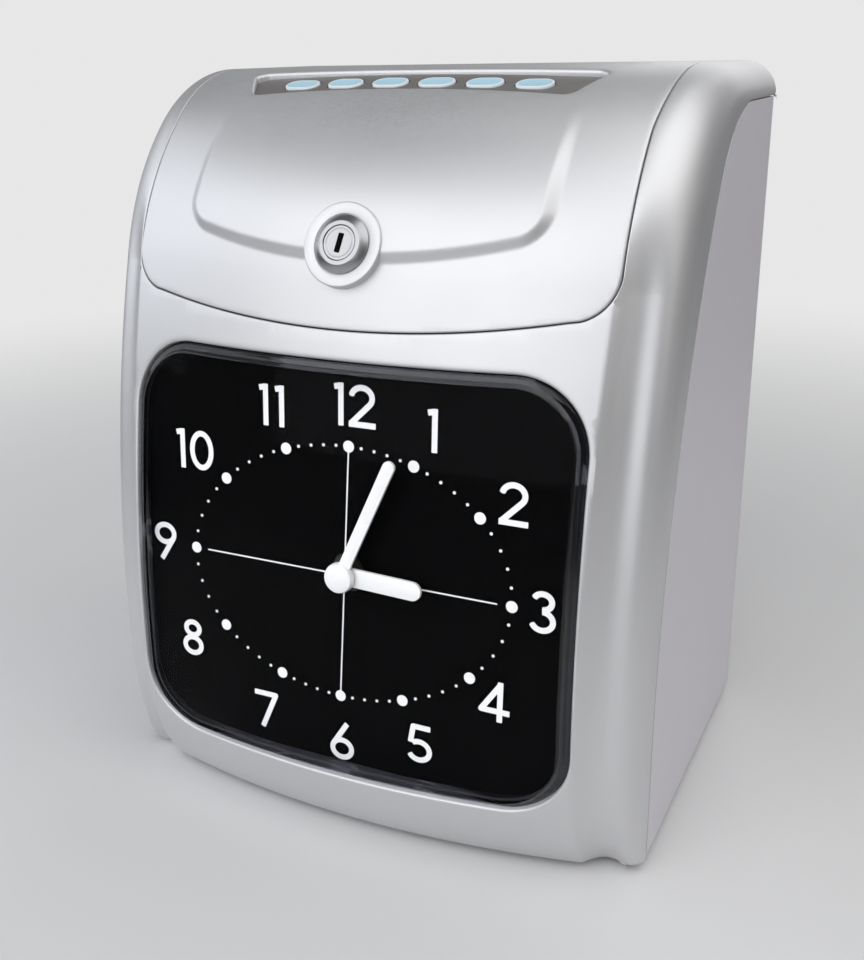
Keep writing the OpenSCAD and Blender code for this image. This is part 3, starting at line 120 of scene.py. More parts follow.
class ClockColours(bpy.types.PropertyGroup):
    """Colours of the finishes."""

    silver: tint("Silver", "Painted front and top cover", (0.68, 0.68, 0.69))
    housing: tint("Housing", "Grey rear housing", (0.70, 0.68, 0.72))
    key_blue: tint("Key blue", "Function keys", (0.44, 0.68, 0.80))
    tray: tint("Key tray", "Floor of the key recess", (0.15, 0.14, 0.135))
    dial: tint("Dial", "Dial plate", (0.0012, 0.0012, 0.0014))
    print_white: tint("Dial print", "Numbers and marks", (0.74, 0.74, 0.74))
    floor: tint("Floor", "Studio floor", (0.70, 0.70, 0.70))


def sizes():
    """The case sizes of this scene."""
    return bpy.context.scene.clock_case


def dial_sizes():
    """The dial sizes of this scene."""
    return bpy.context.scene.clock_dial


def colours():
    """The colours of this scene."""
    return bpy.context.scene.clock_colours


# Skin of the case


# The flute down each corner: how far round it reaches, how early it is deepest, and where it fades out
FLUTE = {"span": math.radians(60), "early": 0.65, "start": math.radians(9), "fade": math.radians(27)}


class Skin:
    """Front, brow, crown and roof as one surface over q, across, and t, along, in mm."""

    def __init__(self):
        s = sizes()
        mm = 1.0 / MM
        self.half = s.width * mm / 2
        self.rear = s.depth * mm / 2
        self.face_y = -self.rear + dial_sizes().lens_proud * mm
        self.top = s.height * mm
        self.foot = s.foot * mm
        self.wall = s.wall * mm
        self.gap = s.seam * mm
        self.face_z = s.face_height * mm
        self.face_r = s.face_radius * mm
        self.bulge_r = s.bulge_radius * mm
        chin_set = s.chin_set * mm
        rise = self.face_z - self.foot
        self.chin_r = (rise ** 2 + chin_set ** 2) / (2 * chin_set)
        self.chin_a = math.asin(rise / self.chin_r)
        self.lean = s.crown_lean
        brow_h = s.brow_height * mm
        crown_h = s.crown_height * mm
        self.brow_z = self.top - crown_h - brow_h
        self.crown_z = self.top - crown_h
        self.brow_a = math.asin((self.brow_z - self.face_z) / self.face_r)
        self.brow_r = brow_h / (math.sin(self.lean) - math.sin(self.brow_a))
        self.crown_r = crown_h / (1 - math.sin(self.lean))
        self.brow_y = self.face_y + self.face_r * (1 - math.cos(self.brow_a))
        self.crown_y = self.brow_y + self.brow_r * (math.cos(self.brow_a) - math.cos(self.lean))
        self.crest_y = self.crown_y + self.crown_r * math.cos(self.lean)
        self.corner_w = s.corner_width * mm
        self.corner_d = s.corner_depth * mm
        self.roof_r = s.roof_radius * mm
        self.flute_d = s.flute_depth * mm
        self.t_face = self.chin_r * self.chin_a
        self.t_brow = self.t_face + self.face_r * self.brow_a
        self.t_crown = self.t_brow + self.brow_r * (self.lean - self.brow_a)
        self.t_crest = self.t_crown + self.crown_r * (math.pi / 2 - self.lean)
        self.t_end = self.t_crest + self.rear - self.crest_y
        self.side_y = self.face_y + s.side_set * mm
        self.side_r = s.side_radius * mm
        self.seam_z = self.top - self.roof_r
        self.side_lean = math.asin((self.seam_z - s.side_turn * mm - self.face_z) / self.side_r)
        self.side_z = self.face_z + self.side_r * math.sin(self.side_lean)
        self.side_top_r = (self.seam_z - self.side_z) / (1 - math.sin(self.side_lean))
        self.table_t = np.linspace(0, self.t_crest, 4000)
        self.table_z = self.profile(self.table_t)[1]
        roof = np.linspace(self.t_crest, self.t_end, 40)
        self.edge_t = np.concatenate([np.linspace(0, self.t_crest, 160), roof[1:]])
        self.edge_q = self._edge(self.edge_t)

    def profile(self, t):
        """y, z and lean of the middle line at distance t from its foot."""
        t = np.asarray(t, float)
        a = np.select(
            [t < self.t_face, t < self.t_brow, t < self.t_crown, t < self.t_crest],
            [
                (t - self.t_face) / self.chin_r,
                (t - self.t_face) / self.face_r,
                self.brow_a + (t - self.t_brow) / self.brow_r,
                self.lean + (t - self.t_crown) / self.crown_r,
            ],
            math.pi / 2,
        )
        over = np.maximum(t - self.t_crest, 0)
        cos, sin = np.cos(a), np.sin(a)
        y = np.select(
            [t < self.t_face, t < self.t_brow, t < self.t_crown],
            [
                self.face_y + self.chin_r * (1 - cos),
                self.face_y + self.face_r * (1 - cos),
                self.brow_y + self.brow_r * (math.cos(self.brow_a) - cos),
            ],
            self.crown_y + self.crown_r * (math.cos(self.lean) - cos) + over,
        )
        z = np.select(
            [t < self.t_face, t < self.t_brow, t < self.t_crown],
            [
                self.face_z + self.chin_r * sin,
                self.face_z + self.face_r * sin,
                self.brow_z + self.brow_r * (sin - math.sin(self.brow_a)),
            ],
            self.crown_z + self.crown_r * (sin - math.sin(self.lean)),
        )
        return y, z, a

    def t_at_z(self, z):
        """Distance along the middle line at height z."""
        return np.interp(z, self.table_z, self.table_t)

    def t_at_lean(self, degrees):
        """Distance along the middle line where the brow or crown leans by an angle."""
        a = math.radians(degrees)
        if a < self.lean:
            return self.t_brow + (a - self.brow_a) * self.brow_r
        return self.t_crown + (a - self.lean) * self.crown_r

    def t_at_roof(self, y, q=0.0):
        """Distance along at which the flat roof reaches a depth, at q across."""
        bulge = np.asarray(q, float) ** 2 / (2 * self.bulge_r)
        past = y - self.crest_y - bulge
        return self.t_crest + np.where(past > 0, past / (1 - bulge / (self.t_end - self.t_crest)), past)

    def corner(self, up):
        """Width and depth of the corner where the surface leans by up."""
        s = np.sin(up)
        wide = self.corner_w + (self.roof_r - self.corner_w) * s
        return wide, self.corner_d + (self.roof_r - self.corner_d) * s

    def flute(self, phi, up):
        """Depth of the flute round the corner, fading out over the brow."""
        share = np.clip(phi / FLUTE["span"], 0, 1) ** FLUTE["early"]
        fade = np.clip((up - FLUTE["start"]) / FLUTE["fade"], 0, 1)
        return self.flute_d * np.sin(math.pi * share) ** 2 * (0.5 + 0.5 * np.cos(math.pi * fade))

    def point(self, q, t, inset=0.0):
        """Points of the skin, inset below its surface."""
        q, t = np.broadcast_arrays(np.asarray(q, float), np.asarray(t, float))
        base_y, base_z, a = self.profile(t)
        up = np.maximum(a, 0)
        w, d = self.corner(up)
        flat = self.half - w
        across = np.abs(q)
        turn = np.clip((across - flat) / w, 0, math.pi / 2)
        run = np.maximum(across - flat - w * math.pi / 2, 0)
        x = np.where(across > flat, flat + (w - inset) * np.sin(turn), across) * np.sign(q)
        deep = (d - inset) * (1 - np.cos(turn)) + self.flute(turn, up) + run
        tuck = np.where(a < 0, (base_y - self.face_y) * (1 - np.cos(turn)), 0)
        over = np.clip((t - self.t_crest) / (self.t_end - self.t_crest), 0, 1)
        bulge = x ** 2 / (2 * self.bulge_r) * (1 - over)
        y = base_y - tuck + inset * np.cos(a) + bulge + deep * np.cos(up)
        z = base_z - inset * np.sin(a) - deep * np.sin(up)
        return np.stack([x, y, z], axis=-1)

    def seam_y(self, z):
        """Depth of the side seam at height z."""
        low = np.clip(z - self.face_z, 0, self.side_r * math.sin(self.side_lean))
        y = self.side_y + self.side_r - np.sqrt(self.side_r ** 2 - low ** 2)
        r = self.side_top_r
        cy = self.side_y + self.side_r * (1 - math.cos(self.side_lean)) + r * math.cos(self.side_lean)
        cz = self.side_z - r * math.sin(self.side_lean)
        high = np.clip(z - cz, 0, r)
        return np.where(z > self.side_z, cy - np.sqrt(np.maximum(r ** 2 - high ** 2, 0)), y)

    def _edge(self, t):
        """Distance across at which the skin meets the side seam."""
        up = np.maximum(self.profile(t)[2], 0)
        w, _ = self.corner(up)
        low = self.half - w + w * math.pi / 4
        high = low + 120
        for _ in range(40):
            mid = (low + high) / 2
            p = self.point(mid, t)
            past = (p[:, 2] <= self.seam_z) & (p[:, 1] >= self.seam_y(p[:, 2]))
            low, high = np.where(past, low, mid), np.where(past, mid, high)
        return (low + high) / 2

    def edge(self, t):
        """Distance across at the side seam, looked up."""
        return np.interp(t, self.edge_t, self.edge_q)

    def place(self, degrees):
        """Frame on the middle line: x across, y up the surface, z outwards, in mm."""
        y, z, a = (float(v) for v in self.profile(self.t_at_lean(degrees)))
        up = Vector((0, math.sin(a), math.cos(a)))
        out = Vector((0, -math.cos(a), math.sin(a)))
        m = Matrix.Identity(4)
        for i, axis in enumerate((Vector((1, 0, 0)), up, out)):
            m.col[i] = (*axis, 0)
        m.col[3] = (0, y, z, 1)
        return m


# Mesh helpers


# Points closer than this, in metres, are one point
DOUBLED = 1e-6


def clear_selection():
    """Leaves edit mode and deselects everything."""
    if bpy.context.object and bpy.context.object.mode != "OBJECT":
        bpy.ops.object.mode_set(mode="OBJECT")
    bpy.ops.object.select_all(action="DESELECT")


def pick(obj):
    """Makes one object the only selected and active one."""
    clear_selection()
    obj.select_set(True)
    bpy.context.view_layer.objects.active = obj


def mesh_piece(name, points, faces, edges=()):
    """A new mesh object from points in mm."""
    clear_selection()
    mesh = bpy.data.meshes.new(name)
    places = [tuple(float(c) * MM for c in p) for p in points]
    mesh.from_pydata(places, list(edges), [tuple(int(i) for i in f) for f in faces])
    mesh.update()
    obj = bpy.data.objects.new(name, mesh)
    bpy.context.scene.collection.objects.link(obj)
    pick(obj)
    return obj


def clean(obj, outward=True):
    """Merges doubled points and turns the faces outwards."""
    pick(obj)
    bpy.ops.object.mode_set(mode="EDIT")
    bpy.ops.mesh.select_all(action="SELECT")
    bpy.ops.mesh.remove_doubles(threshold=DOUBLED)
    bpy.ops.mesh.dissolve_degenerate(threshold=DOUBLED)
    if outward:
        bpy.ops.mesh.normals_make_consistent(inside=False)
    bpy.ops.object.mode_set(mode="OBJECT")
    return obj


def smooth(obj, degrees=35):
    """Smooth shading with creases at sharp edges."""
    pick(obj)
    bpy.ops.object.shade_smooth_by_angle(angle=math.radians(degrees))
    return obj


def apply_all(obj):
    """Applies every modifier of a piece."""
    pick(obj)
    for m in list(obj.modifiers):
        bpy.ops.object.modifier_apply(modifier=m.name)
    return obj


def bevel(obj, mm, segments, degrees):
    """Rounds the sharp edges of a piece."""
    pick(obj)
    m = obj.modifiers.new("rounded_edges", "BEVEL")
    m.width = mm * MM
    m.segments = segments
    m.limit_method = "ANGLE"
    m.angle_limit = math.radians(degrees)
    return apply_all(obj)


def cut(obj, tool):
    """Cuts a tool's shape out of a piece and deletes the tool."""
    pick(obj)
    m = obj.modifiers.new("cut", "BOOLEAN")
    m.operation = "DIFFERENCE"
    m.solver = "EXACT"
    m.object = tool
    apply_all(obj)
    bpy.data.objects.remove(tool, do_unlink=True)
    return obj


def move(obj, matrix):
    """Puts a piece modelled in mm of a local frame in its place in the mesh."""
    m = matrix.copy()
    m.translation *= MM
    obj.data.transform(m)
    obj.data.update()
    return obj


def join(name, *objs):
    """Joins pieces into one."""
    clear_selection()
    for o in objs:
        o.select_set(True)
    bpy.context.view_layer.objects.active = objs[0]
    bpy.ops.object.join()
    objs[0].name = name
    objs[0].data.name = name
    return objs[0]


def copy_piece(obj, name):
    """A copy with its own mesh."""
    twin = obj.copy()
    twin.data = obj.data.copy()
    twin.name = name
    twin.data.name = name
    bpy.context.scene.collection.objects.link(twin)
    return twin


def even_normals(obj):
    """Flat faces keep flat shading next to small roundings."""
    pick(obj)
    m = obj.modifiers.new("even_normals", "WEIGHTED_NORMAL")
    m.keep_sharp = True
    return apply_all(obj)


def settle(obj, body, material, nodes=(), degrees=35, even=False):
    """Gives a finished piece its finish and its place on the CAD frame."""
    smooth(obj, degrees)
    if even:
        even_normals(obj)
    obj.data.materials.clear()
    obj.data.materials.append(material)
    if nodes:
        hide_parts(*nodes)
    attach(obj, body)
    return obj


def spun(name, profile, steps):
    """A turned piece from a closed or axis-ended profile of (radius, height) in mm, about local z."""
    edges = [(i, i + 1) for i in range(len(profile) - 1)]
    obj = mesh_piece(name, [(r, 0, h) for r, h in profile], [], edges)
    bpy.ops.object.mode_set(mode="EDIT")
    bpy.ops.mesh.select_all(action="SELECT")
    bpy.ops.mesh.spin(steps=steps, angle=2 * math.pi, center=(0, 0, 0), axis=(0, 0, 1))
    bpy.ops.object.mode_set(mode="OBJECT")
    return clean(obj)


def arc(cx, cy, r, start, end, n):
    """Points of an arc, angles in degrees."""
    return [
        (cx + r * math.cos(math.radians(a)), cy + r * math.sin(math.radians(a)))
        for a in np.linspace(start, end, n)
    ]


def round_rect(w, h, r, cx=0.0, cy=0.0, n=14):
    """Closed outline of a rectangle with round corners, anticlockwise."""
    x, y = w / 2 - r, h / 2 - r
    corners = ((x, -y, -90), (x, y, 0), (-x, y, 90), (-x, -y, 180))
    return np.array([p for dx, dy, a in corners for p in arc(cx + dx, cy + dy, r, a, a + 90, n)])


def refine(loop, step):
    """A closed outline with no segment longer than step."""
    out = []
    for p, n in zip(loop, np.roll(loop, -1, axis=0)):
        parts = max(1, int(math.ceil(np.hypot(*(n - p)) / step)))
        out.extend(p + (n - p) * k / parts for k in range(parts))
    return np.array(out)


def side_normals(edges):
    """Unit normals on the right of flat edges."""
    return np.stack([edges[:, 1], -edges[:, 0]], axis=1) / np.maximum(np.hypot(*edges.T), TINY)[:, None]


def grow(loop, d):
    """An anticlockwise closed outline moved outwards by d."""
    n0 = side_normals(loop - np.roll(loop, 1, axis=0))
    n = n0 + side_normals(np.roll(loop, -1, axis=0) - loop)
    n /= np.maximum(np.hypot(*n.T), TINY)[:, None]
    scale = 1 / np.maximum((n * n0).sum(axis=1), 0.5)
    return loop + n * (d * scale)[:, None]


def inside(points, loop):
    """Which points lie inside a closed outline."""
    x, y = points[:, 0], points[:, 1]
    hit = np.zeros(len(points), bool)
    for (x0, y0), (x1, y1) in zip(loop, np.roll(loop, -1, axis=0)):
        if y0 == y1:
            continue
        cross = ((y0 > y) != (y1 > y)) & (x < (x1 - x0) * (y - y0) / (y1 - y0) + x0)
        hit ^= cross
    return hit


def distance(points, loop, closed=True):
    """Distance from points to an outline."""
    ends = np.roll(loop, -1, axis=0) if closed else loop[1:]
    starts = loop if closed else loop[:-1]
    best = np.full(len(points), 1e9)
    for a, b in zip(starts, ends):
        ab = b - a
        s = np.clip(((points - a) @ ab) / max(ab @ ab, 1e-12), 0, 1)
        best = np.minimum(best, np.hypot(*(points - a - s[:, None] * ab).T))
    return best


def turned_up(verts, tris):
    """Flat triangles turned anticlockwise, without those of no area."""
    a, b, c = (verts[tris[:, i]] for i in range(3))
    area = (b[:, 0] - a[:, 0]) * (c[:, 1] - a[:, 1]) - (b[:, 1] - a[:, 1]) * (c[:, 0] - a[:, 0])
    tris[area < 0] = tris[area < 0][:, ::-1]
    return tris[np.abs(area) > TINY]


def mesh_region(outline, holes, lines, seeds, keep_off=0.7):
    """Triangles of a flat region: an outline with holes, kept lines and seed points."""
    loops = [np.asarray(outline, float)] + [np.asarray(h, float) for h in holes]
    kept = [np.asarray(line, float) for line in lines]
    seeds = np.asarray(seeds, float).reshape(-1, 2)
    if len(seeds):
        good = inside(seeds, loops[0]) & (distance(seeds, loops[0]) > keep_off)
        for h in loops[1:]:
            good &= ~inside(seeds, h) & (distance(seeds, h) > keep_off)
        for line in kept:
            good &= distance(seeds, line) > keep_off
        seeds = seeds[good]
    points, edges = [], []
    for loop in loops + kept:
        base = len(points)
        points.extend(map(tuple, loop))
        edges.extend((base + i, base + (i + 1) % len(loop)) for i in range(len(loop)))
    points.extend(map(tuple, seeds))
    result = delaunay_2d_cdt([Vector(p) for p in points], edges, [], 0, 1e-6)
    verts = np.array([tuple(v) for v in result[0]])
    tris = np.array([f for f in result[2] if len(f) == 3])
    middle = verts[tris].mean(axis=1)
    good = inside(middle, loops[0])
    for h in loops[1:]:
        good &= ~inside(middle, h)
    return verts, turned_up(verts, tris[good])


def rim_edges(tris):
    """Edges that only one triangle uses, in that triangle's direction."""
    edges = dict.fromkeys((int(t[i]), int(t[(i + 1) % 3])) for t in tris for i in range(3))
    return [(a, b) for a, b in edges if (b, a) not in edges]


def close_shell(outer, inner, tris, left_open=()):
    """Points and faces of a wall between two sheets with the same triangles, closed but at some points."""
    n = len(outer)
    faces = [tuple(t) for t in tris] + [(t[2] + n, t[1] + n, t[0] + n) for t in tris]
    gaps = set(left_open)
    faces += [(b, a, a + n, b + n) for a, b in rim_edges(tris) if not (a in gaps and b in gaps)]
    return np.concatenate([outer, inner]), faces


def sheet(verts, height):
    """Flat points raised to one height."""
    return np.column_stack([verts, np.full(len(verts), height)])


def plate(name, outline, holes, low, high):
    """A flat plate with holes between two heights of a local frame, in mm."""
    verts, tris = mesh_region(outline, holes, [], ())
    return clean(mesh_piece(name, *close_shell(sheet(verts, high), sheet(verts, low), tris)))


def edge_drop(d, r):
    """How far a rounded edge of radius r falls at distance d from it."""
    d = np.clip(d, 0, r)
    return r - np.sqrt(np.maximum(r ** 2 - (r - d) ** 2, 0))


# Finishes


def set_inputs(node, values):
    """Sets input values of a shader node."""
    for socket, value in values.items():
        node.inputs[socket].default_value = value
    return node


def add_node(tree, kind, values=None, **settings):
    """A new shader node with its settings and input values."""
    node = tree.nodes.new("ShaderNode" + kind)
    for name, value in settings.items():
        setattr(node, name, value)
    return set_inputs(node, values or {})


def wire(tree, *runs):
    """Links, for each run, an output of one node to an input of another."""
    for source, out, target, into in runs:
        tree.links.new(source.outputs[out], target.inputs[into])


def new_material(name):
    """A new material, its node tree and its shader."""
    mat = bpy.data.materials.new(name)
    mat.use_nodes = True
    return mat, mat.node_tree, mat.node_tree.nodes["Principled BSDF"]


def moulded_grain():
    """Group: fine grain of a moulded or painted surface, with slow mottling."""
    if "moulded_grain" in bpy.data.node_groups:
        return bpy.data.node_groups["moulded_grain"]
    group = bpy.data.node_groups.new("moulded_grain", "ShaderNodeTree")
    add_socket = group.interface.new_socket
    add_socket(name="Vector", in_out="INPUT", socket_type="NodeSocketVector")
    for name in ("Grain", "Patch"):
        add_socket(name=name, in_out="INPUT", socket_type="NodeSocketFloat")
    for name in ("Height", "Mottle", "Gloss"):
        add_socket(name=name, in_out="OUTPUT", socket_type="NodeSocketFloat")
    start, end = group.nodes.new("NodeGroupInput"), group.nodes.new("NodeGroupOutput")
    fine = add_node(group, "TexNoise", {"Detail": 2.0})
    broad = add_node(group, "TexNoise", {"Detail": 3.0, "Roughness": 0.55})
    shine = add_node(group, "TexNoise", {"Detail": 4.0})
    finer = add_node(group, "Math", {1: 2.7}, operation="MULTIPLY")
    wire(group, (start, "Grain", fine, "Scale"), (start, "Patch", broad, "Scale"),
         (start, "Patch", finer, 0), (finer, 0, shine, "Scale"))
    for tex, out in ((fine, "Height"), (broad, "Mottle"), (shine, "Gloss")):
        wire(group, (start, "Vector", tex, "Vector"), (tex, "Fac", end, out))
    return group


def finish(name, rgb, rough=0.5, metallic=0.0, grain=900.0, depth=0.02, mottle=0.05, gloss=0.08, patch=18.0,
           stretch=(1, 1, 1), coat=0.0, sheen=0.5):
    """A material with moulded grain, slow colour mottling and uneven gloss."""
    if name in bpy.data.materials:
        return bpy.data.materials[name]
    mat, tree, shader = new_material(name)
    mat.diffuse_color = (*rgb, 1)
    set_inputs(shader, {"Metallic": metallic, "Coat Weight": coat, "Specular IOR Level": sheen,
                        "Coat Roughness": 0.12})
    place = add_node(tree, "TexCoord")
    turn = add_node(tree, "Mapping", {"Scale": stretch})
    noise = add_node(tree, "Group", {"Grain": grain, "Patch": patch}, node_tree=moulded_grain())
    dark, light = ((*[min(1, c * (1 + m)) for c in rgb], 1) for m in (-mottle, mottle))
    tone = add_node(tree, "Mix", {"A": dark, "B": light}, data_type="RGBA", name="tone")
    ramp = add_node(tree, "MapRange", {"From Min": 0.3, "From Max": 0.7, "To Min": max(0.02, rough - gloss),
                                       "To Max": min(1.0, rough + gloss)})
    bump = add_node(tree, "Bump", {"Strength": 0.35, "Distance": depth * MM})
    wire(tree, (place, "Object", turn, "Vector"), (turn, "Vector", noise, "Vector"),
         (noise, "Mottle", tone, "Factor"), (tone, "Result", shader, "Base Color"),
         (noise, "Gloss", ramp, "Value"), (ramp, "Result", shader, "Roughness"),
         (noise, "Height", bump, "Height"), (bump, "Normal", shader, "Normal"))
    return mat


def silver_paint():
    """Satin silver paint with fine flake."""
    fresh = "silver_paint" not in bpy.data.materials
    mat = finish("silver_paint", tuple(colours().silver), rough=0.47, metallic=0.75, grain=1500, depth=0.006,
                 mottle=0.02, gloss=0.03, patch=9, coat=0.05)
    if fresh:
        tree = mat.node_tree
        flake = add_node(tree, "TexVoronoi", {"Scale": 2600})
        spread = add_node(tree, "MapRange", {"To Min": 0.64, "To Max": 0.86})
        wire(tree, (tree.nodes["Texture Coordinate"], "Object", flake, "Vector"),
             (flake, "Color", spread, "Value"),
             (spread, "Result", tree.nodes["Principled BSDF"], "Metallic"))
    return mat


def clear_plastic(name, rgb, coat):
    """Clear window plastic that lets the lamps reach the dial."""
    if name in bpy.data.materials:
        return bpy.data.materials[name]
    mat, tree, shader = new_material(name)
    set_inputs(shader, {"Base Color": (*rgb, 1), "Transmission Weight": 1.0, "IOR": 1.06, "Coat Weight": coat,
                        "Coat Roughness": 0.02, "Coat IOR": 1.5})
    place = add_node(tree, "TexCoord")
    smudge = add_node(tree, "TexNoise", {"Scale": 14, "Detail": 3})
    ramp = add_node(tree, "MapRange", {"To Min": 0.0, "To Max": 0.05})
    path = add_node(tree, "LightPath")
    through = add_node(tree, "BsdfTransparent")
    mix = add_node(tree, "MixShader")
    wire(tree, (place, "Object", smudge, "Vector"), (smudge, "Fac", ramp, "Value"),
         (ramp, "Result", shader, "Roughness"), (path, "Is Shadow Ray", mix, "Fac"), (shader, "BSDF", mix, 1),
         (through, "BSDF", mix, 2), (mix, "Shader", tree.nodes["Material Output"], "Surface"))
    return mat


def board_lacquer():
    """Green circuit board with fine copper lines under the lacquer."""
    fresh = "board_lacquer" not in bpy.data.materials
    mat = finish("board_lacquer", (0.02, 0.13, 0.05), rough=0.32, grain=500, depth=0.01, mottle=0.12,
                 patch=40)
    if fresh:
        tree = mat.node_tree
        black, white = (0, 0, 0, 1), (1, 1, 1, 1)
        lines = add_node(tree, "TexBrick", {"Scale": 150, "Mortar Size": 0.03, "Color1": black,
                                            "Color2": black, "Mortar": white})
        mix = add_node(tree, "Mix", {"B": (0.06, 0.26, 0.10, 1)}, data_type="RGBA")
        wire(tree, (tree.nodes["Texture Coordinate"], "Object", lines, "Vector"),
             (lines, "Color", mix, "Factor"), (tree.nodes["tone"], "Result", mix, "A"),
             (mix, "Result", tree.nodes["Principled BSDF"], "Base Color"))
    return mat


# Plain finishes by material slot: name, colour or its property, roughness, metallic, grains in a metre,
# depth of the grain in mm, mottling, and what differs from the usual
PLAIN_FINISHES = {
    "grey_housing": ("housing_plastic", "housing", 0.5, 0.0, 1100, 0.015, 0.012, {"gloss": 0.03}),
    "rubber_black": ("black_rubber", (0.02, 0.02, 0.021), 0.82, 0.0, 1400, 0.05, 0.2, {}),
    "steel": ("zinc_steel", (0.60, 0.60, 0.61), 0.32, 1.0, 700, 0.01, 0.08,
              {"patch": 60, "stretch": (1, 1, 6)}),
    "dial_black": ("dial_lacquer", "dial", 0.5, 0.0, 1800, 0.002, 0.2, {"gloss": 0.05, "sheen": 0.02}),
    "black_plastic": ("moulded_black", (0.022, 0.022, 0.024), 0.45, 0.0, 1000, 0.025, 0.15, {}),
    "gear_plastic": ("gear_nylon", (0.72, 0.68, 0.55), 0.42, 0.0, 800, 0.015, 0.05, {}),
    "brass": ("turned_brass", (0.70, 0.50, 0.20), 0.26, 1.0, 900, 0.008, 0.1, {}),
    "dark_brass": ("dark_turned_brass", (0.05, 0.044, 0.036), 0.4, 0.7, 900, 0.008, 0.1, {}),
    "hand_white": ("hand_enamel", (0.72, 0.72, 0.72), 0.32, 0.0, 1500, 0.005, 0.02, {}),
    "motor_can": ("drawn_can", (0.52, 0.53, 0.55), 0.3, 1.0, 600, 0.01, 0.06, {"stretch": (1, 1, 8)}),
    "lock_chrome": ("plated_lock", (0.42, 0.42, 0.43), 0.30, 1.0, 900, 0.003, 0.04, {"gloss": 0.05}),
    "key_blue": ("key_cap_blue", "key_blue", 0.36, 0.0, 1300, 0.008, 0.03, {}),
    "chip_black": ("chip_resin", (0.03, 0.03, 0.032), 0.5, 0.0, 900, 0.02, 0.15, {}),
    "head_alloy": ("cast_alloy", (0.36, 0.37, 0.39), 0.4, 0.9, 800, 0.02, 0.08, {}),
    "ribbon_ink": ("inked_ribbon", (0.03, 0.012, 0.05), 0.7, 0.0, 2200, 0.03, 0.25, {}),
    "knob_blue": ("moulded_blue", (0.05, 0.13, 0.45), 0.38, 0.0, 900, 0.012, 0.06, {}),
    "guide_grey": ("moulded_grey", (0.10, 0.105, 0.115), 0.46, 0.0, 900, 0.02, 0.08, {}),
    "battery_wrap": ("battery_sleeve", (0.50, 0.05, 0.05), 0.28, 0.0, 500, 0.01, 0.08, {}),
    "core_steel": ("stacked_core", (0.17, 0.16, 0.145), 0.45, 0.6, 400, 0.03, 0.15, {"stretch": (1, 9, 1)}),
}


def finishes():
    """Every finish by the record's material slot."""
    looks = {
        "silver_shell": silver_paint(),
        "lens_clear": clear_plastic("clear_rim", (0.86, 0.87, 1.0), coat=0.8),
        "board_green": board_lacquer(),
    }
    for slot, (name, rgb, *values, more) in PLAIN_FINISHES.items():
        colour = tuple(getattr(colours(), rgb)) if isinstance(rgb, str) else rgb
        looks[slot] = finish(name, colour, *values, **more)
    return looks


# Outlines of the front


# Places on the middle line, by the surface's lean in degrees, and the lock's hole in mm
LOCK_LEAN = 23.4
KEY_LEAN = 74.0
LOCK_HOLE = 8.2
# Sizes in mm of the top cover, its hinge, the card slot, the key recess and the keys
COVER = {"side": 16.5, "flare": 2.0, "drop": 76.0, "rise": 6.0, "corner": 14.0, "rear_gap": 1.6,
         "seeds": 92, "step": 1.9}
HINGE = {"set": 14.0, "drop": 2.6, "in": 20.5, "knuckle": 10.0, "support": 5.0, "gap": 0.3, "clear": 0.5,
         "lip": 1.4}
CARD = {"set": 41.3, "width": 92.0, "gap": 5.6}
RECESS = {"half": 66.0, "depth": 19.0, "floor": -2.4, "tray": 2.0, "taper": 8.0, "ear": (4.0, 3.0),
          "front_round": 5.0, "rear_round": 2.6, "edge": 1.2}
KEYS = {"count": 6, "pitch": 17.2, "width": 13.0, "depth": 8.4, "gap": 0.35, "top": -1.7}


def hinge_place(skin):
    """Depth and height of the cover's hinge axis."""
    return skin.crest_y + HINGE["set"], skin.top - HINGE["drop"]


def cover_rear(skin):
    """Depth of the top cover's rear edge."""
    return hinge_place(skin)[0] - HINGE["drop"] - HINGE["lip"]


def cover_loop(skin, g, rear_y, tabs_y):
    """Outline of the top cover or its opening over q and t: drawn in by g, tabs or notches to tabs_y."""
    half = skin.half - COVER["side"]
    low = skin.top - COVER["drop"]
    r = COVER["corner"]
    flat = half - r
    bow = (flat ** 2 + COVER["rise"] ** 2) / (2 * COVER["rise"])
    lean = math.degrees(math.asin(flat / bow))
    right = [(bow * math.sin(math.radians(a)), low + g + bow * (1 - math.cos(math.radians(a))))
             for a in np.linspace(0, lean, 26)]
    right += arc(flat, low + COVER["rise"] + r, r - g, lean - 90, 0, 16)[1:]
    edge = [(x, float(skin.t_at_z(z))) for x, z in right]
    wide = half + COVER["flare"] - g
    for t in np.linspace(edge[-1][1], float(skin.t_at_roof(rear_y, wide)), 40)[1:]:
        z = float(skin.profile(t)[1])
        edge.append((half - g + COVER["flare"] * max(0.0, (z - skin.crown_z) / (skin.top - skin.crown_z)), t))
    at = half - HINGE["in"]
    w = HINGE["knuckle"] / 2 + (HINGE["gap"] if g == 0 else 0)
    rear = [(q, rear_y) for q in np.linspace(wide, at + w, 9)[1:]]
    rear += [(at + w, tabs_y), (at, tabs_y), (at - w, tabs_y)]
    rear += [(q, rear_y) for q in np.linspace(at - w, 0, 28)[:-1]]
    edge += [(q, float(skin.t_at_roof(y, q))) for q, y in rear]
    middle = [(0.0, float(skin.t_at_roof(rear_y)))]
    left = [(-x, t) for x, t in edge[::-1]]
    return refine(np.array(edge + middle + left[:-1]), 2.5)


def window_loop(skin, g):
    """Outline of the window opening over q and t, grown by g."""
    d = dial_sizes()
    mm = 1 / MM
    loop = round_rect(d.window_width * mm + 2 * g, d.window_height * mm + 2 * g, d.window_radius * mm + g,
                      0, d.window_middle * mm, n=18)
    loop = refine(loop, 3.0)
    return np.column_stack([loop[:, 0], skin.t_at_z(loop[:, 1])])


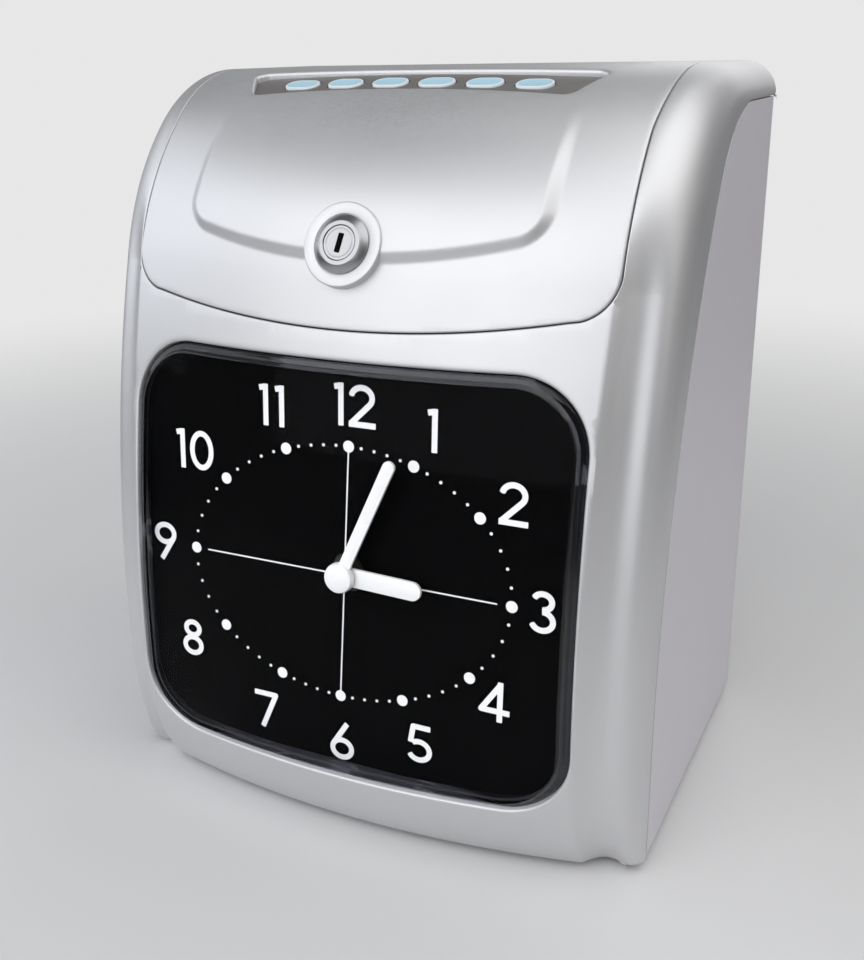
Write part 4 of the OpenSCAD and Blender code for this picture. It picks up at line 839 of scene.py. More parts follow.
def card_loop(skin):
    """Outline of the card slot in the roof over q and t."""
    loop = refine(round_rect(CARD["width"], CARD["gap"], 0.8, 0, skin.crest_y + CARD["set"], n=4), 2.5)
    return np.column_stack([loop[:, 0], skin.t_at_roof(loop[:, 1], loop[:, 0])])


def rounded(corners, radii, steps=8):
    """A closed outline with each corner rounded."""
    out = []
    for i, (p, r) in enumerate(zip(corners, radii)):
        before, after = corners[i - 1], corners[(i + 1) % len(corners)]
        a = (before - p) / np.hypot(*(before - p))
        b = (after - p) / np.hypot(*(after - p))
        half = math.acos(float(np.clip(a @ b, -1, 1))) / 2
        reach = r / math.tan(half)
        middle = p + (a + b) / np.hypot(*(a + b)) * r / math.sin(half)
        start, end = p + a * reach - middle, p + b * reach - middle
        a0, a1 = math.atan2(start[1], start[0]), math.atan2(end[1], end[0])
        turn = (a1 - a0 + math.pi) % (2 * math.pi) - math.pi
        for k in range(steps):
            at = a0 + turn * k / (steps - 1)
            out.append(middle + r * np.array((math.cos(at), math.sin(at))))
    return np.array(out)


def recess_outline(g=0.0):
    """Outline of the key recess in the frame on the skin, grown by g."""
    h, v = RECESS["half"], RECESS["depth"] / 2
    low = h - RECESS["taper"]
    ear_x, ear_y = RECESS["ear"]
    corners = np.array([(-low, -v), (low, -v), (h, v - ear_y), (h - ear_x, v), (-h + ear_x, v),
                        (-h, v - ear_y)])
    loop = rounded(corners, 2 * [RECESS["front_round"]] + 4 * [RECESS["rear_round"]])
    return grow(refine(loop, 2.0), g)


def to_skin(skin, degrees, loop):
    """An outline of a frame on the skin, followed straight down on to the surface, over q and t."""
    place = skin.place(degrees)
    origin = np.array(place.translation)
    along = np.array(place.col[1].xyz)
    out = []
    for x, v in loop:
        low, high = (skin.t_at_lean(degrees) + reach for reach in (-45, 45))
        for _ in range(40):
            mid = (low + high) / 2
            below = (skin.point(x, mid) - origin) @ along < v
            low, high = (mid, high) if below else (low, mid)
        out.append((x, (low + high) / 2))
    return np.array(out)


# The raised panel: from the case's side, height and sag of its lower edge, corner radius, width and height of
# its slope, and the heights between which it fades out
PANEL = {"side": 37.5, "low": 200.4, "sag": 0.0020, "corner": 10.0, "slope": 4.6, "high": 2.0,
         "fade": (214.0, 247.0)}


def panel_edge(skin, q):
    """Distance up the skin of the raised panel's lower edge at q across."""
    return skin.t_at_z(PANEL["low"] + PANEL["sag"] * q ** 2)


def panel_depth(skin, q, t):
    """How far a place lies inside the raised panel's edge."""
    r = PANEL["corner"]
    d_low = t - panel_edge(skin, q)
    d_side = skin.half - PANEL["side"] - np.abs(q)
    corner = r - np.hypot(np.maximum(r - d_low, 0), np.maximum(r - d_side, 0))
    return np.where((d_low < r) & (d_side < r), corner, np.minimum(d_low, d_side))


def panel_height(skin, q, t):
    """Height of the raised panel round the lock."""
    s = np.clip(panel_depth(skin, q, t) / PANEL["slope"], 0, 1)
    start, end = (skin.t_at_z(z) for z in PANEL["fade"])
    fade = np.clip((t - start) / (end - start), 0, 1)
    return PANEL["high"] * s * s * (3 - 2 * s) * (1 - fade * fade * (3 - 2 * fade))


def panel_seeds(skin):
    """Seed points in rows along the slope of the raised panel."""
    r, half, step = PANEL["corner"], skin.half - PANEL["side"], 1.5
    tall = skin.t_at_z(PANEL["fade"][1]) - panel_edge(skin, half)
    rise, run = np.arange(tall, r + step / 2, -step), np.arange(r + step, half, step)
    turn = np.linspace(0, math.pi / 2, 15)
    rows = []
    for d in np.arange(-0.8, PANEL["slope"] + 0.9, 0.5):
        d_low = np.concatenate([rise, r - (r - d) * np.sin(turn), np.full(len(run), d)])
        d_side = np.concatenate([np.full(len(rise), d), r - (r - d) * np.cos(turn), run])
        q = half - d_side
        rows += [np.column_stack([side * q, panel_edge(skin, q) + d_low]) for side in (-1, 1)]
    return np.concatenate(rows)


# Rows of points round a rounded edge, as shares of its radius, rows over the lower edge, and a row round the
# window
EDGE_STEPS = (0.12, 0.32, 0.62, 1.0)
FOOT_ROWS = (0.25, 0.7, 1.3, 2.2, 3.2, 4.5)
WINDOW_ROW = 2.2
# Radii of the front cover's edges, the door's also the top cover's own
EDGES = {"door": 0.5, "window": 1.0, "slot": 0.9, "side": 0.5, "rear": 1.6}
# Radius of the lower edge under the face and under the flanks, and the way over which it grows
FACE_ROUND = 2.2
FOOT_ROUND = 4.5
FOOT_BLEND = 12.0
# Least wall behind a rounded edge, and how near a point counts as at the skin's end
THIN_WALL = 0.8
AT_END = 1e-4


def grid(q_values, t_values):
    """Seed points over q and t."""
    q, t = np.meshgrid(q_values, t_values)
    return np.column_stack([q.ravel(), t.ravel()])


def across_values(skin, far):
    """Columns of the skin: wide on the face, close round the corner."""
    flat = skin.half - skin.corner_w
    turn = flat + skin.corner_w * math.pi / 2
    half = np.concatenate([np.arange(2, flat - 3, 4.0), np.arange(flat - 3, turn, 1.1),
                           np.arange(turn, far, 4.0)])
    return np.concatenate([-half[::-1], half])


def rear_wall(skin, verts, outer, inner, points, faces):
    """Closes the roof at the back with a flat skirt down to the seam."""
    n = len(verts)
    row = np.where(np.abs(verts[:, 1] - skin.t_end) < AT_END)[0]
    row = row[np.argsort(verts[row, 0])]
    low, low_in = len(points), len(points) + len(row)
    extra = [(outer[i, 0], skin.rear, skin.seam_z) for i in row]
    extra += [(inner[i, 0], skin.rear - skin.wall, skin.seam_z) for i in row]
    points = np.concatenate([points, np.array(extra)])
    for k in range(len(row) - 1):
        a, b = row[k], row[k + 1]
        faces.append((a, low + k, low + k + 1, b))
        faces.append((low + k, low_in + k, low_in + k + 1, low + k + 1))
        faces.append((low_in + k, a + n, b + n, low_in + k + 1))
    return points, faces


def foot_radius(skin, q):
    """Radius of the rounded lower edge: small under the face, larger under the flanks."""
    turn = skin.half - skin.corner_w + skin.corner_w * math.pi / 4
    share = np.clip((np.abs(q) - turn) / FOOT_BLEND, 0, 1)
    return FACE_ROUND + (FOOT_ROUND - FACE_ROUND) * share * share * (3 - 2 * share)


def front_shell():
    """The front cover: face, flanks, brow and roof with its openings."""
    skin = Skin()
    hinge_y, hinge_z = hinge_place(skin)
    notch_y = hinge_y + HINGE["drop"] + HINGE["clear"]
    door = cover_loop(skin, 0.0, cover_rear(skin) + COVER["rear_gap"], notch_y)
    window = window_loop(skin, 0.0)
    slot = card_loop(skin)
    ts = np.concatenate([np.arange(0, skin.t_crest, 4.0), np.arange(skin.t_crest, skin.t_end - 1, 5.0),
                         [skin.t_end]])
    side = [(float(skin.edge(t)), t) for t in ts]
    bottom = [(q, 0.0) for q in across_values(skin, side[0][0] - 0.5)]
    back = [(q, skin.t_end) for q in across_values(skin, side[-1][0] - 0.4)[::-1]]
    outline = np.array(bottom + side + back + [(-q, t) for q, t in side[::-1]])
    right = np.array(side)
    left = right * (-1, 1)
    foot = np.array([(-side[0][0], 0.0), (side[0][0], 0.0)])
    end = np.array([(-side[-1][0], skin.t_end), (side[-1][0], skin.t_end)])
    edges = [(door, True, EDGES["door"]), (window, True, EDGES["window"]), (slot, True, EDGES["slot"]),
             (right, False, EDGES["side"]), (left, False, EDGES["side"]), (end, False, EDGES["rear"])]
    lines = [grow(loop, r * k) for loop, _, r in edges[:3] for k in EDGE_STEPS]
    lines += [grow(window, WINDOW_ROW)]
    lines += [grow(outline, -EDGES["side"] * k) for k in EDGE_STEPS]
    rows = np.concatenate([FOOT_ROWS, np.arange(8.0, skin.t_brow, 4.0),
                           np.arange(skin.t_brow, skin.t_crest, 3.0),
                           np.arange(skin.t_crest, skin.t_end - 3, 5.0),
                           skin.t_end - EDGES["rear"] * np.array(EDGE_STEPS[::-1])])
    seeds = grid(across_values(skin, float(skin.edge_q.max())), rows)
    verts, tris = mesh_region(outline, [door, window, slot], lines, seeds, keep_off=0.35)
    inset = edge_drop(distance(verts, foot, False), foot_radius(skin, verts[:, 0]))
    for loop, closed, r in edges:
        inset = np.maximum(inset, edge_drop(distance(verts, loop, closed), r))
    outer = skin.point(verts[:, 0], verts[:, 1], inset)
    inner = skin.point(verts[:, 0], verts[:, 1], np.maximum(skin.wall, inset + THIN_WALL))
    roof = verts[:, 1] > skin.t_crest
    inner[roof, 1] = np.minimum(inner[roof, 1], skin.rear - skin.wall)
    at_end = np.where(np.abs(verts[:, 1] - skin.t_end) < AT_END)[0]
    points, faces = rear_wall(skin, verts, outer, inner, *close_shell(outer, inner, tris, at_end))
    shell = clean(mesh_piece("front_cover_shell", points, faces), outward=False)
    supports = []
    for side_x in (-1, 1):
        for s in (-1, 1):
            x = side_x * (skin.half - COVER["side"] - HINGE["in"])
            x += s * (HINGE["knuckle"] + HINGE["support"] + 2 * HINGE["gap"]) / 2
            supports.append(knuckle("hinge_support", x, hinge_y, hinge_z, HINGE["support"]))
    return join("front_cover_shell", shell, *supports)


def knuckle(name, x, y, z, long):
    """A hinge knuckle along x with a bored middle and rounded ends."""
    r, bore, e, h = HINGE["drop"] - 0.05, 1.3, 0.35, long / 2
    profile = [(bore, -h), (r - e, -h), (r, -h + e), (r, h - e), (r - e, h), (bore, h), (bore, -h)]
    obj = spun(name, profile, 32)
    turn = Matrix.Rotation(math.pi / 2, 4, "Y")
    turn.translation = (x, y, z)
    return move(obj, turn)


class CLOCK_OT_front_cover(bpy.types.Operator):
    """Silver front cover with window, card slot and flutes"""

    bl_idname = "clock.front_cover"
    bl_label = "Front cover"

    def execute(self, context):
        settle(front_shell(), "case", finishes()["silver_shell"], ["front_cover"], 32)
        return {"FINISHED"}


def cover_shell():
    """The top cover's outer wall with its raised panel."""
    skin = Skin()
    hinge_y, hinge_z = hinge_place(skin)
    outline = cover_loop(skin, skin.gap, cover_rear(skin), hinge_y)
    recess = to_skin(skin, KEY_LEAN, recess_outline())
    lock = to_skin(skin, LOCK_LEAN, arc(0, 0, LOCK_HOLE, 0, 360, 49)[:-1])
    edges = [(outline, EDGES["door"]), (recess, RECESS["edge"])]
    lines = [grow(outline, -EDGES["door"] * k) for k in EDGE_STEPS]
    lines += [grow(recess, RECESS["edge"] * k) for k in EDGE_STEPS]
    low, top = float(outline[:, 1].min()), float(outline[:, 1].max())
    wide, step = COVER["seeds"], COVER["step"]
    seeds = grid(np.arange(-wide, wide + 0.1, step), np.arange(low, top, step))
    depth = panel_depth(skin, seeds[:, 0], seeds[:, 1])
    raised = seeds[:, 1] < skin.t_at_z(PANEL["fade"][1]) + 1
    slope = (depth > -1.8) & (depth < PANEL["slope"] + 1.6) & raised
    seeds = np.concatenate([seeds[~slope], panel_seeds(skin)])
    verts, tris = mesh_region(outline, [recess, lock], lines, seeds, keep_off=0.4)
    inset = -panel_height(skin, verts[:, 0], verts[:, 1])
    for loop, r in edges:
        inset = inset + edge_drop(distance(verts, loop), r)
    outer = skin.point(verts[:, 0], verts[:, 1], inset)
    inner = skin.point(verts[:, 0], verts[:, 1], skin.wall)
    shell = clean(mesh_piece("cover_shell", *close_shell(outer, inner, tris)), outward=False)
    at = skin.half - COVER["side"] - HINGE["in"]
    rods = [knuckle("cover_knuckle", s * at, hinge_y, hinge_z, HINGE["knuckle"]) for s in (-1, 1)]
    return join("cover_shell", shell, *rods)


def oval(w, d, n=16):
    """Outline of an oval with straight sides."""
    r = d / 2
    return np.array(arc(w / 2 - r, 0, r, -90, 90, n) + arc(-(w / 2 - r), 0, r, 90, 270, n))


def key_places():
    """Distance across of each key."""
    n = KEYS["count"]
    return [(i - (n - 1) / 2) * KEYS["pitch"] for i in range(n)]


def key_sink(skin, x):
    """How far the bulged crown falls away under the keys at x across."""
    return math.cos(math.radians(KEY_LEAN)) * x ** 2 / (2 * skin.bulge_r)


def key_tray():
    """Floor and lower walls of the key recess, with a hole for each key."""
    skin = Skin()
    floor, deep = RECESS["floor"], RECESS["floor"] - RECESS["tray"]
    w, d = (KEYS[k] + 2 * KEYS["gap"] for k in ("width", "depth"))
    holes = [oval(w, d) + (x, 0) for x in key_places()]
    base = plate("key_tray", recess_outline(RECESS["edge"]), holes, deep, floor)
    for v in base.data.vertices:
        v.co.z -= key_sink(skin, v.co.x / MM) * MM
    return move(base, skin.place(KEY_LEAN))


class CLOCK_OT_top_cover(bpy.types.Operator):
    """Silver top cover with its raised panel, key recess and hinge knuckles"""

    bl_idname = "clock.top_cover"
    bl_label = "Top cover"

    def execute(self, context):
        looks = finishes()
        settle(cover_shell(), "cover", looks["silver_shell"], ["top_cover"], 32)
        tray = finish("tray_plastic", tuple(colours().tray), rough=0.5, grain=1000, depth=0.02, mottle=0.05)
        settle(key_tray(), "cover", tray)
        return {"FINISHED"}


def bands(start, n, count):
    """Faces between rings of n points that follow each other from a first point."""
    faces = []
    for base in start + n * np.arange(count - 1):
        for i in range(n):
            j = (i + 1) % n
            faces.append((base + i, base + j, base + n + j, base + n + i))
    return faces


def lofted(name, rings):
    """A closed piece through rings of the same number of points, capped at both ends, in mm."""
    n = len(rings[0])
    caps = [tuple(range(n))[::-1], tuple(range((len(rings) - 1) * n, len(rings) * n))]
    return clean(mesh_piece(name, np.concatenate(rings), caps + bands(0, n, len(rings))))


# Profile of a key: growth of its oval, with the height from the tray's underside or from the key's top, and
# the heights between its rings that bound the rounded edge painted with a highlight colour
KEY_EDGE = (-0.02, -0.5, -0.3)
KEY_FLANGE = ((2.0, -1.3), (2.0, -0.3), (0.0, -0.3))
KEY_CROWN = ((0.0, -0.8), (-0.12, -0.4), (-0.4, -0.12), (-0.9, 0.0), (-1.5, -0.05), (-2.6, -0.16),
             (-4.6, -0.24))


def on_key_edge(piece, face, top):
    """Whether a face of a key cap that isn't placed yet lies on the rounded edge of its top, which is painted
    as a highlight.
    """
    heights = [piece.data.vertices[v].co[2] / MM - top for v in face.vertices]
    at_crest, below, under = KEY_EDGE
    return max(heights) > at_crest or (max(heights) > below and min(heights) < under)


class CLOCK_OT_keys(bpy.types.Operator):
    """Six blue function keys"""

    bl_idname = "clock.keys"
    bl_label = "Function keys"

    def execute(self, context):
        skin = Skin()
        w, d, top = KEYS["width"], KEYS["depth"], KEYS["top"]
        floor = RECESS["floor"] - RECESS["tray"]
        steps = [(g, floor + z) for g, z in KEY_FLANGE] + [(g, top + z) for g, z in KEY_CROWN]
        rings = [sheet(oval(w + g, d + g), z) for g, z in steps]
        first = lofted("key_cap", rings)
        # The rounded edge of each key's top gets a near-white finish: a painted highlight for the light that
        # edge catches
        painted_highlight = finish("key_cap_edge", (0.80, 0.84, 0.86), rough=0.3, grain=1300, depth=0.008, mottle=0.03)
        edge = [f.index for f in first.data.polygons if on_key_edge(first, f, top)]
        for i, x in enumerate(key_places()):
            cap = copy_piece(first, f"key_cap_{i + 1}")
            place = skin.place(KEY_LEAN) @ Matrix.Translation((x, 0, -key_sink(skin, x)))
            move(cap, place)
            settle(cap, f"key_{i + 1}", finishes()["key_blue"], [f"key_{i + 1}"])
            cap.data.materials.append(painted_highlight)
            for k in edge:
                cap.data.polygons[k].material_index = 1
        bpy.data.objects.remove(first, do_unlink=True)
        return {"FINISHED"}


# Profiles of the lock, as radius and height above the cover, and its key slot
LOCK_COLLAR = ((8.0, -3.0), (13.4, -3.0), (13.4, 2.15), (13.34, 2.4), (13.2, 2.54), (12.95, 2.6), (9.85, 2.6),
               (9.66, 2.5), (9.6, 2.2), (8.0, 2.2), (8.0, -3.0))
LOCK_RING = ((5.6, -22), (7.8, -22), (7.8, 2.35), (9.3, 2.35), (9.4, 2.75), (9.2, 3.05), (7.15, 4.28),
             (6.95, 4.38), (6.7, 4.4), (5.75, 4.4), (5.6, 4.25), (5.6, -22))
LOCK_PLUG = ((0.0, -22.3), (5.5, -22.3), (5.5, 4.05), (5.35, 4.2), (4.7, 4.2), (4.6, 4.1), (4.4, 4.1),
             (4.3, 4.2), (0.0, 4.2))
KEY_SLOT = {"wide": 2.0, "long": 6.2, "corner": 0.4, "floor": -8.0, "top": 6.0, "turn": -8.0}


class CLOCK_OT_lock(bpy.types.Operator):
    """Flat collar, conical ring and turning plug of the lock"""

    bl_idname = "clock.lock"
    bl_label = "Lock"

    def execute(self, context):
        place = Skin().place(LOCK_LEAN)
        looks = finishes()
        collar = spun("lock_collar", LOCK_COLLAR, 96)
        settle(move(collar, place), "cover", looks["silver_shell"])
        ring = spun("lock_ring", LOCK_RING, 96)
        settle(move(ring, place), "cover", looks["lock_chrome"], ["lock_barrel"])
        plug = spun("lock_plug_face", LOCK_PLUG, 96)
        slot = refine(round_rect(KEY_SLOT["wide"], KEY_SLOT["long"], KEY_SLOT["corner"]), 1.0)
        cut(plug, plate("key_slot", slot, [], KEY_SLOT["floor"], KEY_SLOT["top"]))
        turn = place @ Matrix.Rotation(math.radians(KEY_SLOT["turn"]), 4, "Z")
        settle(move(plug, turn), "lock_core", looks["lock_chrome"], ["lock_plug"])
        return {"FINISHED"}


# Window and dial


def dial_place():
    """Frame on the dial: x across, y up the dial, z out of its face, in mm."""
    d = dial_sizes()
    a = d.dial_lean
    skin = Skin()
    m = Matrix.Identity(4)
    m.col[1] = (0, math.sin(a), math.cos(a), 0)
    m.col[2] = (0, -math.cos(a), math.sin(a), 0)
    m.col[3] = (0, skin.face_y + d.dial_set / MM, d.dial_middle / MM, 1)
    return m


# Rim of the window: distance in from its edge, and depth below its face
RIM_STEPS = ((0.0, 2.6), (0.12, 2.2), (0.35, 1.9), (0.7, 1.68), (1.0, 1.58), (2.2, 1.42), (2.4, 1.25),
             (2.65, 0.9), (2.9, 0.45), (3.2, 0.14), (3.6, 0.0), (4.6, 0.0))
# Gap round the window, width and depth of the skirt behind its rim, and reach and step of its seed points
PANE = {"gap": 0.4, "skirt": 2.4, "deep": 5.0, "seeds": 80, "low": 20, "step": 4.0}


def window_pane():
    """The clear window: a curved pane with a stepped, rounded rim and a skirt round its back."""
    skin = Skin()
    d = dial_sizes()
    proud = d.lens_proud / MM
    behind = d.lens_thick / MM - proud
    outline = window_loop(skin, -PANE["gap"])
    skirt = grow(outline, -PANE["skirt"])
    lines = [grow(outline, -far) for far, _ in RIM_STEPS[1:]]
    wide, step = PANE["seeds"], PANE["step"]
    seeds = grid(np.arange(-wide, wide + 0.1, step), np.arange(PANE["low"], skin.t_brow, step))
    front, front_tris = mesh_region(outline, [], lines + [skirt], seeds, keep_off=0.6)
    back, back_tris = mesh_region(skirt, [], lines[-2:], seeds, keep_off=0.6)
    drop = np.interp(distance(front, outline), *np.transpose(RIM_STEPS))
    rings = ((outline, RIM_STEPS[0][1] - proud), (outline, PANE["deep"]), (skirt, PANE["deep"]),
             (skirt, behind))
    sheets = [(front, drop - proud), (back, behind), *rings]
    points = np.concatenate([skin.point(loop[:, 0], loop[:, 1], inset) for loop, inset in sheets])
    faces = [tuple(t) for t in front_tris] + [tuple(int(i) + len(front) for i in t[::-1]) for t in back_tris]
    faces += [f[::-1] for f in bands(len(front) + len(back), len(outline), len(rings))]
    pane = mesh_piece("window_pane", points, faces)
    middles = np.concatenate([front[front_tris].mean(axis=1), back[back_tris].mean(axis=1)])
    within = np.zeros(len(faces), bool)
    within[:len(middles)] = distance(middles, outline) > RIM_STEPS[-2][0]
    pane.data.attributes.new("inside_rim", "BOOLEAN", "FACE").data.foreach_set("value", within)
    return clean(pane)


class CLOCK_OT_window(bpy.types.Operator):
    """Clear window with a thick rounded edge"""

    bl_idname = "clock.window"
    bl_label = "Window"

    def execute(self, context):
        pane = settle(window_pane(), "case", finishes()["lens_clear"], ["window_lens"], 40)
        pane.data.materials.append(clear_plastic("clear_pane", (0.985, 0.985, 0.99), coat=0.0))
        marks = np.zeros(len(pane.data.polygons), bool)
        pane.data.attributes["inside_rim"].data.foreach_get("value", marks)
        pane.data.attributes.remove(pane.data.attributes["inside_rim"])
        pane.data.polygons.foreach_set("material_index", marks.astype(np.int32))
        return {"FINISHED"}


def stroke(points, w, closed=False):
    """Polygons of a drawn line of width w."""
    p = np.asarray(points, float)
    out = []
    ends = list(zip(p[:-1], p[1:])) + ([(p[-1], p[0])] if closed else [])
    for a, b in ends:
        d = b - a
        size = np.hypot(*d)
        if size < TINY:
            continue
        n = np.array((-d[1], d[0])) / size * w / 2
        out.append(np.array([a - n, b - n, b + n, a + n]))
    joints = p if closed else p[1:-1]
    for c in joints:
        out.append(np.array(arc(c[0], c[1], w / 2, 0, 360, 13)[:-1]))
    return out


def digit(ch, w):
    """Centre lines of a round plain digit, one unit high, as a list of (points, closed)."""
    h = w / 2
    if ch == "0":
        t = np.linspace(0, 2 * math.pi, 33)[:-1]
        return [(np.column_stack([(0.31 - h) * np.cos(t), 0.5 + (0.5 - h) * np.sin(t)]), True)]
    if ch == "1":
        return [([(0.05, 0), (0.05, 1)], False), ([(0.05, 1 - h), (-0.10, 1 - h - 0.03)], False)]
    if ch == "2":
        top = arc(0, 0.70, 0.30 - h, 172, -38, 18)
        return [(top + [(-0.25, h)], False), ([(-0.29, h), (0.31, h)], False)]
    if ch == "3":
        upper, lower = arc(0, 0.745, 0.255 - h, 158, -90, 18), arc(0, 0.29, 0.29 - h, 90, -158, 20)
        return [(upper, False), (lower, False)]
    if ch == "4":
        return [([(0.13, 1 - h), (-0.27, 0.26), (0.34, 0.26)], False), ([(0.13, 0), (0.13, 1)], False)]
    if ch == "5":
        bowl = arc(-0.01, 0.31, 0.31 - h, 128, -152, 22)
        return [([(0.24, 1 - h), (-0.15, 1 - h), (-0.21, 0.50)], False), (bowl, False)]
    if ch == "6":
        ring = arc(0, 0.30, 0.30 - h, 0, 360, 33)[:-1]
        a = math.radians(152)
        tangent = ((0.30 - h) * math.cos(a), 0.30 + (0.30 - h) * math.sin(a))
        return [(ring, True), ([tangent, (0.12, 1.0)], False)]
    if ch == "7":
        return [([(-0.28, 1 - h), (0.26, 1 - h), (-0.08, 0)], False)]
    if ch == "8":
        upper, lower = arc(0, 0.745, 0.245 - h, 0, 360, 29), arc(0, 0.285, 0.285 - h, 0, 360, 33)
        return [(upper[:-1], True), (lower[:-1], True)]
    return [([(-p[0], 1 - p[1]) for p in line], closed) for line, closed in digit("6", w)]


def flat_print(name, polygons, thick):
    """Polygons merged into one thin printed layer of a local frame, in mm."""
    points, faces = [], []
    for poly in polygons:
        faces.append(list(range(len(points), len(points) + len(poly))))
        points.extend(Vector(p) for p in poly)
    result = delaunay_2d_cdt(points, [], faces, 1, 1e-5)
    verts = np.array([tuple(v) for v in result[0]])
    tris = np.array([f for f, source in zip(result[2], result[5]) if len(f) == 3 and len(source)])
    tris = turned_up(verts, tris)
    return mesh_piece(name, *close_shell(sheet(verts, thick), sheet(verts, 0.0), tris))


# Middle of each hour number on the dial, in mm from the dial's middle
HOURS = {
    12: (1.5, 57.3), 1: (29.9, 52.3), 2: (58.1, 32.3), 3: (69.2, -1.5),
    4: (54.0, -35.6), 5: (27.4, -57.6), 6: (-2.8, -64.1), 7: (-34.4, -58.9),
    8: (-65.6, -37.1), 9: (-76.1, -1.3), 10: (-62.0, 34.6), 11: (-29.7, 54.0),
}
# Width of the digits against their height, and the steps between the digits of a number
DIGIT_WIDTH = 1.16
DIGIT_STEP = {"1": 0.44, "0": 0.80, "2": 0.76}
# The oval track of dots: half its width and height, where it lies and how far it leans over
TRACK = (60.7, 45.0)
PRINT_SHIFT = np.array((-1.8, -1.6))
PRINT_SKEW = 0.035
MARKS = {"hour_dot": 2.0, "minute_dot": 0.55, "line": 0.5, "short": 5.0, "thick": 0.06}


def on_track(x, y):
    """A point of the dot track on the dial."""
    return np.array((x + PRINT_SKEW * y, y)) + PRINT_SHIFT


def dial_marks():
    """Hour numbers, hour and minute dots and the thin cross lines."""
    d = dial_sizes()
    h = d.numeral_height / MM
    w = d.numeral_stroke / MM / h
    polygons = []
    for hour, middle in HOURS.items():
        text = str(hour)
        widths = [DIGIT_STEP[ch] if len(text) > 1 else 0.0 for ch in text]
        at = -sum(widths) / 2
        for ch, wide in zip(text, widths):
            for line, closed in digit(ch, w):
                pts = np.asarray(line, float) * (DIGIT_WIDTH, 1)
                polygons += stroke((pts + (at + wide / 2, -0.5)) * h + middle, w * h, closed)
            at += wide
    for minute in range(60):
        a = math.radians(90 - 6 * minute)
        reach = 1 / math.hypot(math.cos(a) / TRACK[0], math.sin(a) / TRACK[1])
        x, y = on_track(reach * math.cos(a), reach * math.sin(a))
        r, n = (MARKS["minute_dot"], 13) if minute % 5 else (MARKS["hour_dot"], 33)
        polygons.append(np.array(arc(x, y, r, 0, 360, n)[:-1]))
    side = TRACK[0] - MARKS["short"]
    for end in ((0, TRACK[1]), (0, -TRACK[1]), (side, 0), (-side, 0)):
        polygons += stroke(np.array([on_track(0, 0), on_track(*end)]), MARKS["line"])
    return flat_print("dial_print", polygons, MARKS["thick"])


class CLOCK_OT_dial(bpy.types.Operator):
    """White print on the black dial plate"""

    bl_idname = "clock.dial"
    bl_label = "Dial print"

    def execute(self, context):
        white = tuple(colours().print_white)
        look = finish("dial_print", white, rough=0.5, grain=1600, depth=0.004, mottle=0.03)
        settle(move(dial_marks(), dial_place()), "case", look)
        return {"FINISHED"}


# Sizes of the hands in mm: reach, width, height above the dial and hub radius
HOUR_HAND = {"reach": 29.0, "w": 6.4, "z": 3.7, "hub": 4.6}
MINUTE_HAND = {"reach": 46.0, "w": 4.2, "z": 5.8, "hub": 5.2}
HAND_THICK = 1.2
HAND_CAP = 1.6


def hand(name, degrees, reach, w, z, hub, cap=0.0):
    """A round-ended hand with bevelled edges and perhaps a cap, turned clockwise from twelve."""
    root = math.degrees(math.acos(w / 2 / hub))
    tip, back = arc(0, reach - w / 2, w / 2, 0, 180, 15), arc(0, 0, hub, 180 - root, 360 + root, 41)
    top = z + HAND_THICK
    obj = bevel(plate(name, refine(np.array(tip + back), 4.0), [], z, top), 0.22, 2, 50)
    if cap:
        profile = [(0, top - 0.1), (hub, top - 0.1), (hub, top + 0.2), (hub - 0.3, top + cap * 0.75),
                   (hub - 0.9, top + cap), (0, top + cap)]
        obj = join(name, obj, spun(name + "_cap", profile, 64))
    return move(obj, dial_place() @ Matrix.Rotation(math.radians(-degrees), 4, "Z"))


class CLOCK_OT_hands(bpy.types.Operator):
    """White hour and minute hands"""

    bl_idname = "clock.hands"
    bl_label = "Hands"

    def execute(self, context):
        minutes = dial_sizes().minutes
        look = finishes()["hand_white"]
        hour = hand("hour_pointer", 90 + minutes / 2, **HOUR_HAND)
        settle(hour, "hour_train", look, ["hour_hand"])
        minute = hand("minute_pointer", 6 * minutes, **MINUTE_HAND, cap=HAND_CAP)
        settle(minute, "minute_train", look, ["minute_hand"])
        return {"FINISHED"}


# Housing


def prism_x(name, outline, half):
    """A piece with an outline of (y, z) across the body's width."""
    verts, tris = mesh_region(outline, [], [], ())
    right = np.column_stack([np.full(len(verts), half), verts])
    left = np.column_stack([np.full(len(verts), -half), verts])
    return clean(mesh_piece(name, *close_shell(right, left, tris)))


def block(name, low, high):
    """A box between two corners, in mm."""
    clear_selection()
    middle = [(a + b) / 2 * MM for a, b in zip(low, high)]
    bpy.ops.mesh.primitive_cube_add(size=1, location=middle)
    obj = bpy.context.object
    obj.name = name
    obj.scale = [(b - a) * MM for a, b in zip(low, high)]
    bpy.ops.object.transform_apply(location=True, rotation=True, scale=True)
    return obj


def rod_y(name, x, z, r, y0, y1, steps=32):
    """A cylinder along y, in mm."""
    obj = spun(name, [(0, y0), (r, y0), (r, y1), (0, y1)], steps)
    turn = Matrix.Rotation(-math.pi / 2, 4, "X")
    turn.translation = (x, 0, z)
    return move(obj, turn)


def housing_outline(skin):
    """Side view of the rear housing, (y, z)."""
    top = skin.seam_z - skin.gap
    front = [(float(skin.seam_y(z)) + skin.gap, float(z)) for z in np.linspace(skin.foot, top, 46)]
    front = [p for p in front if p[0] < skin.rear - 1]
    return np.array([(skin.rear, skin.foot), (skin.rear, top)] + front[::-1])


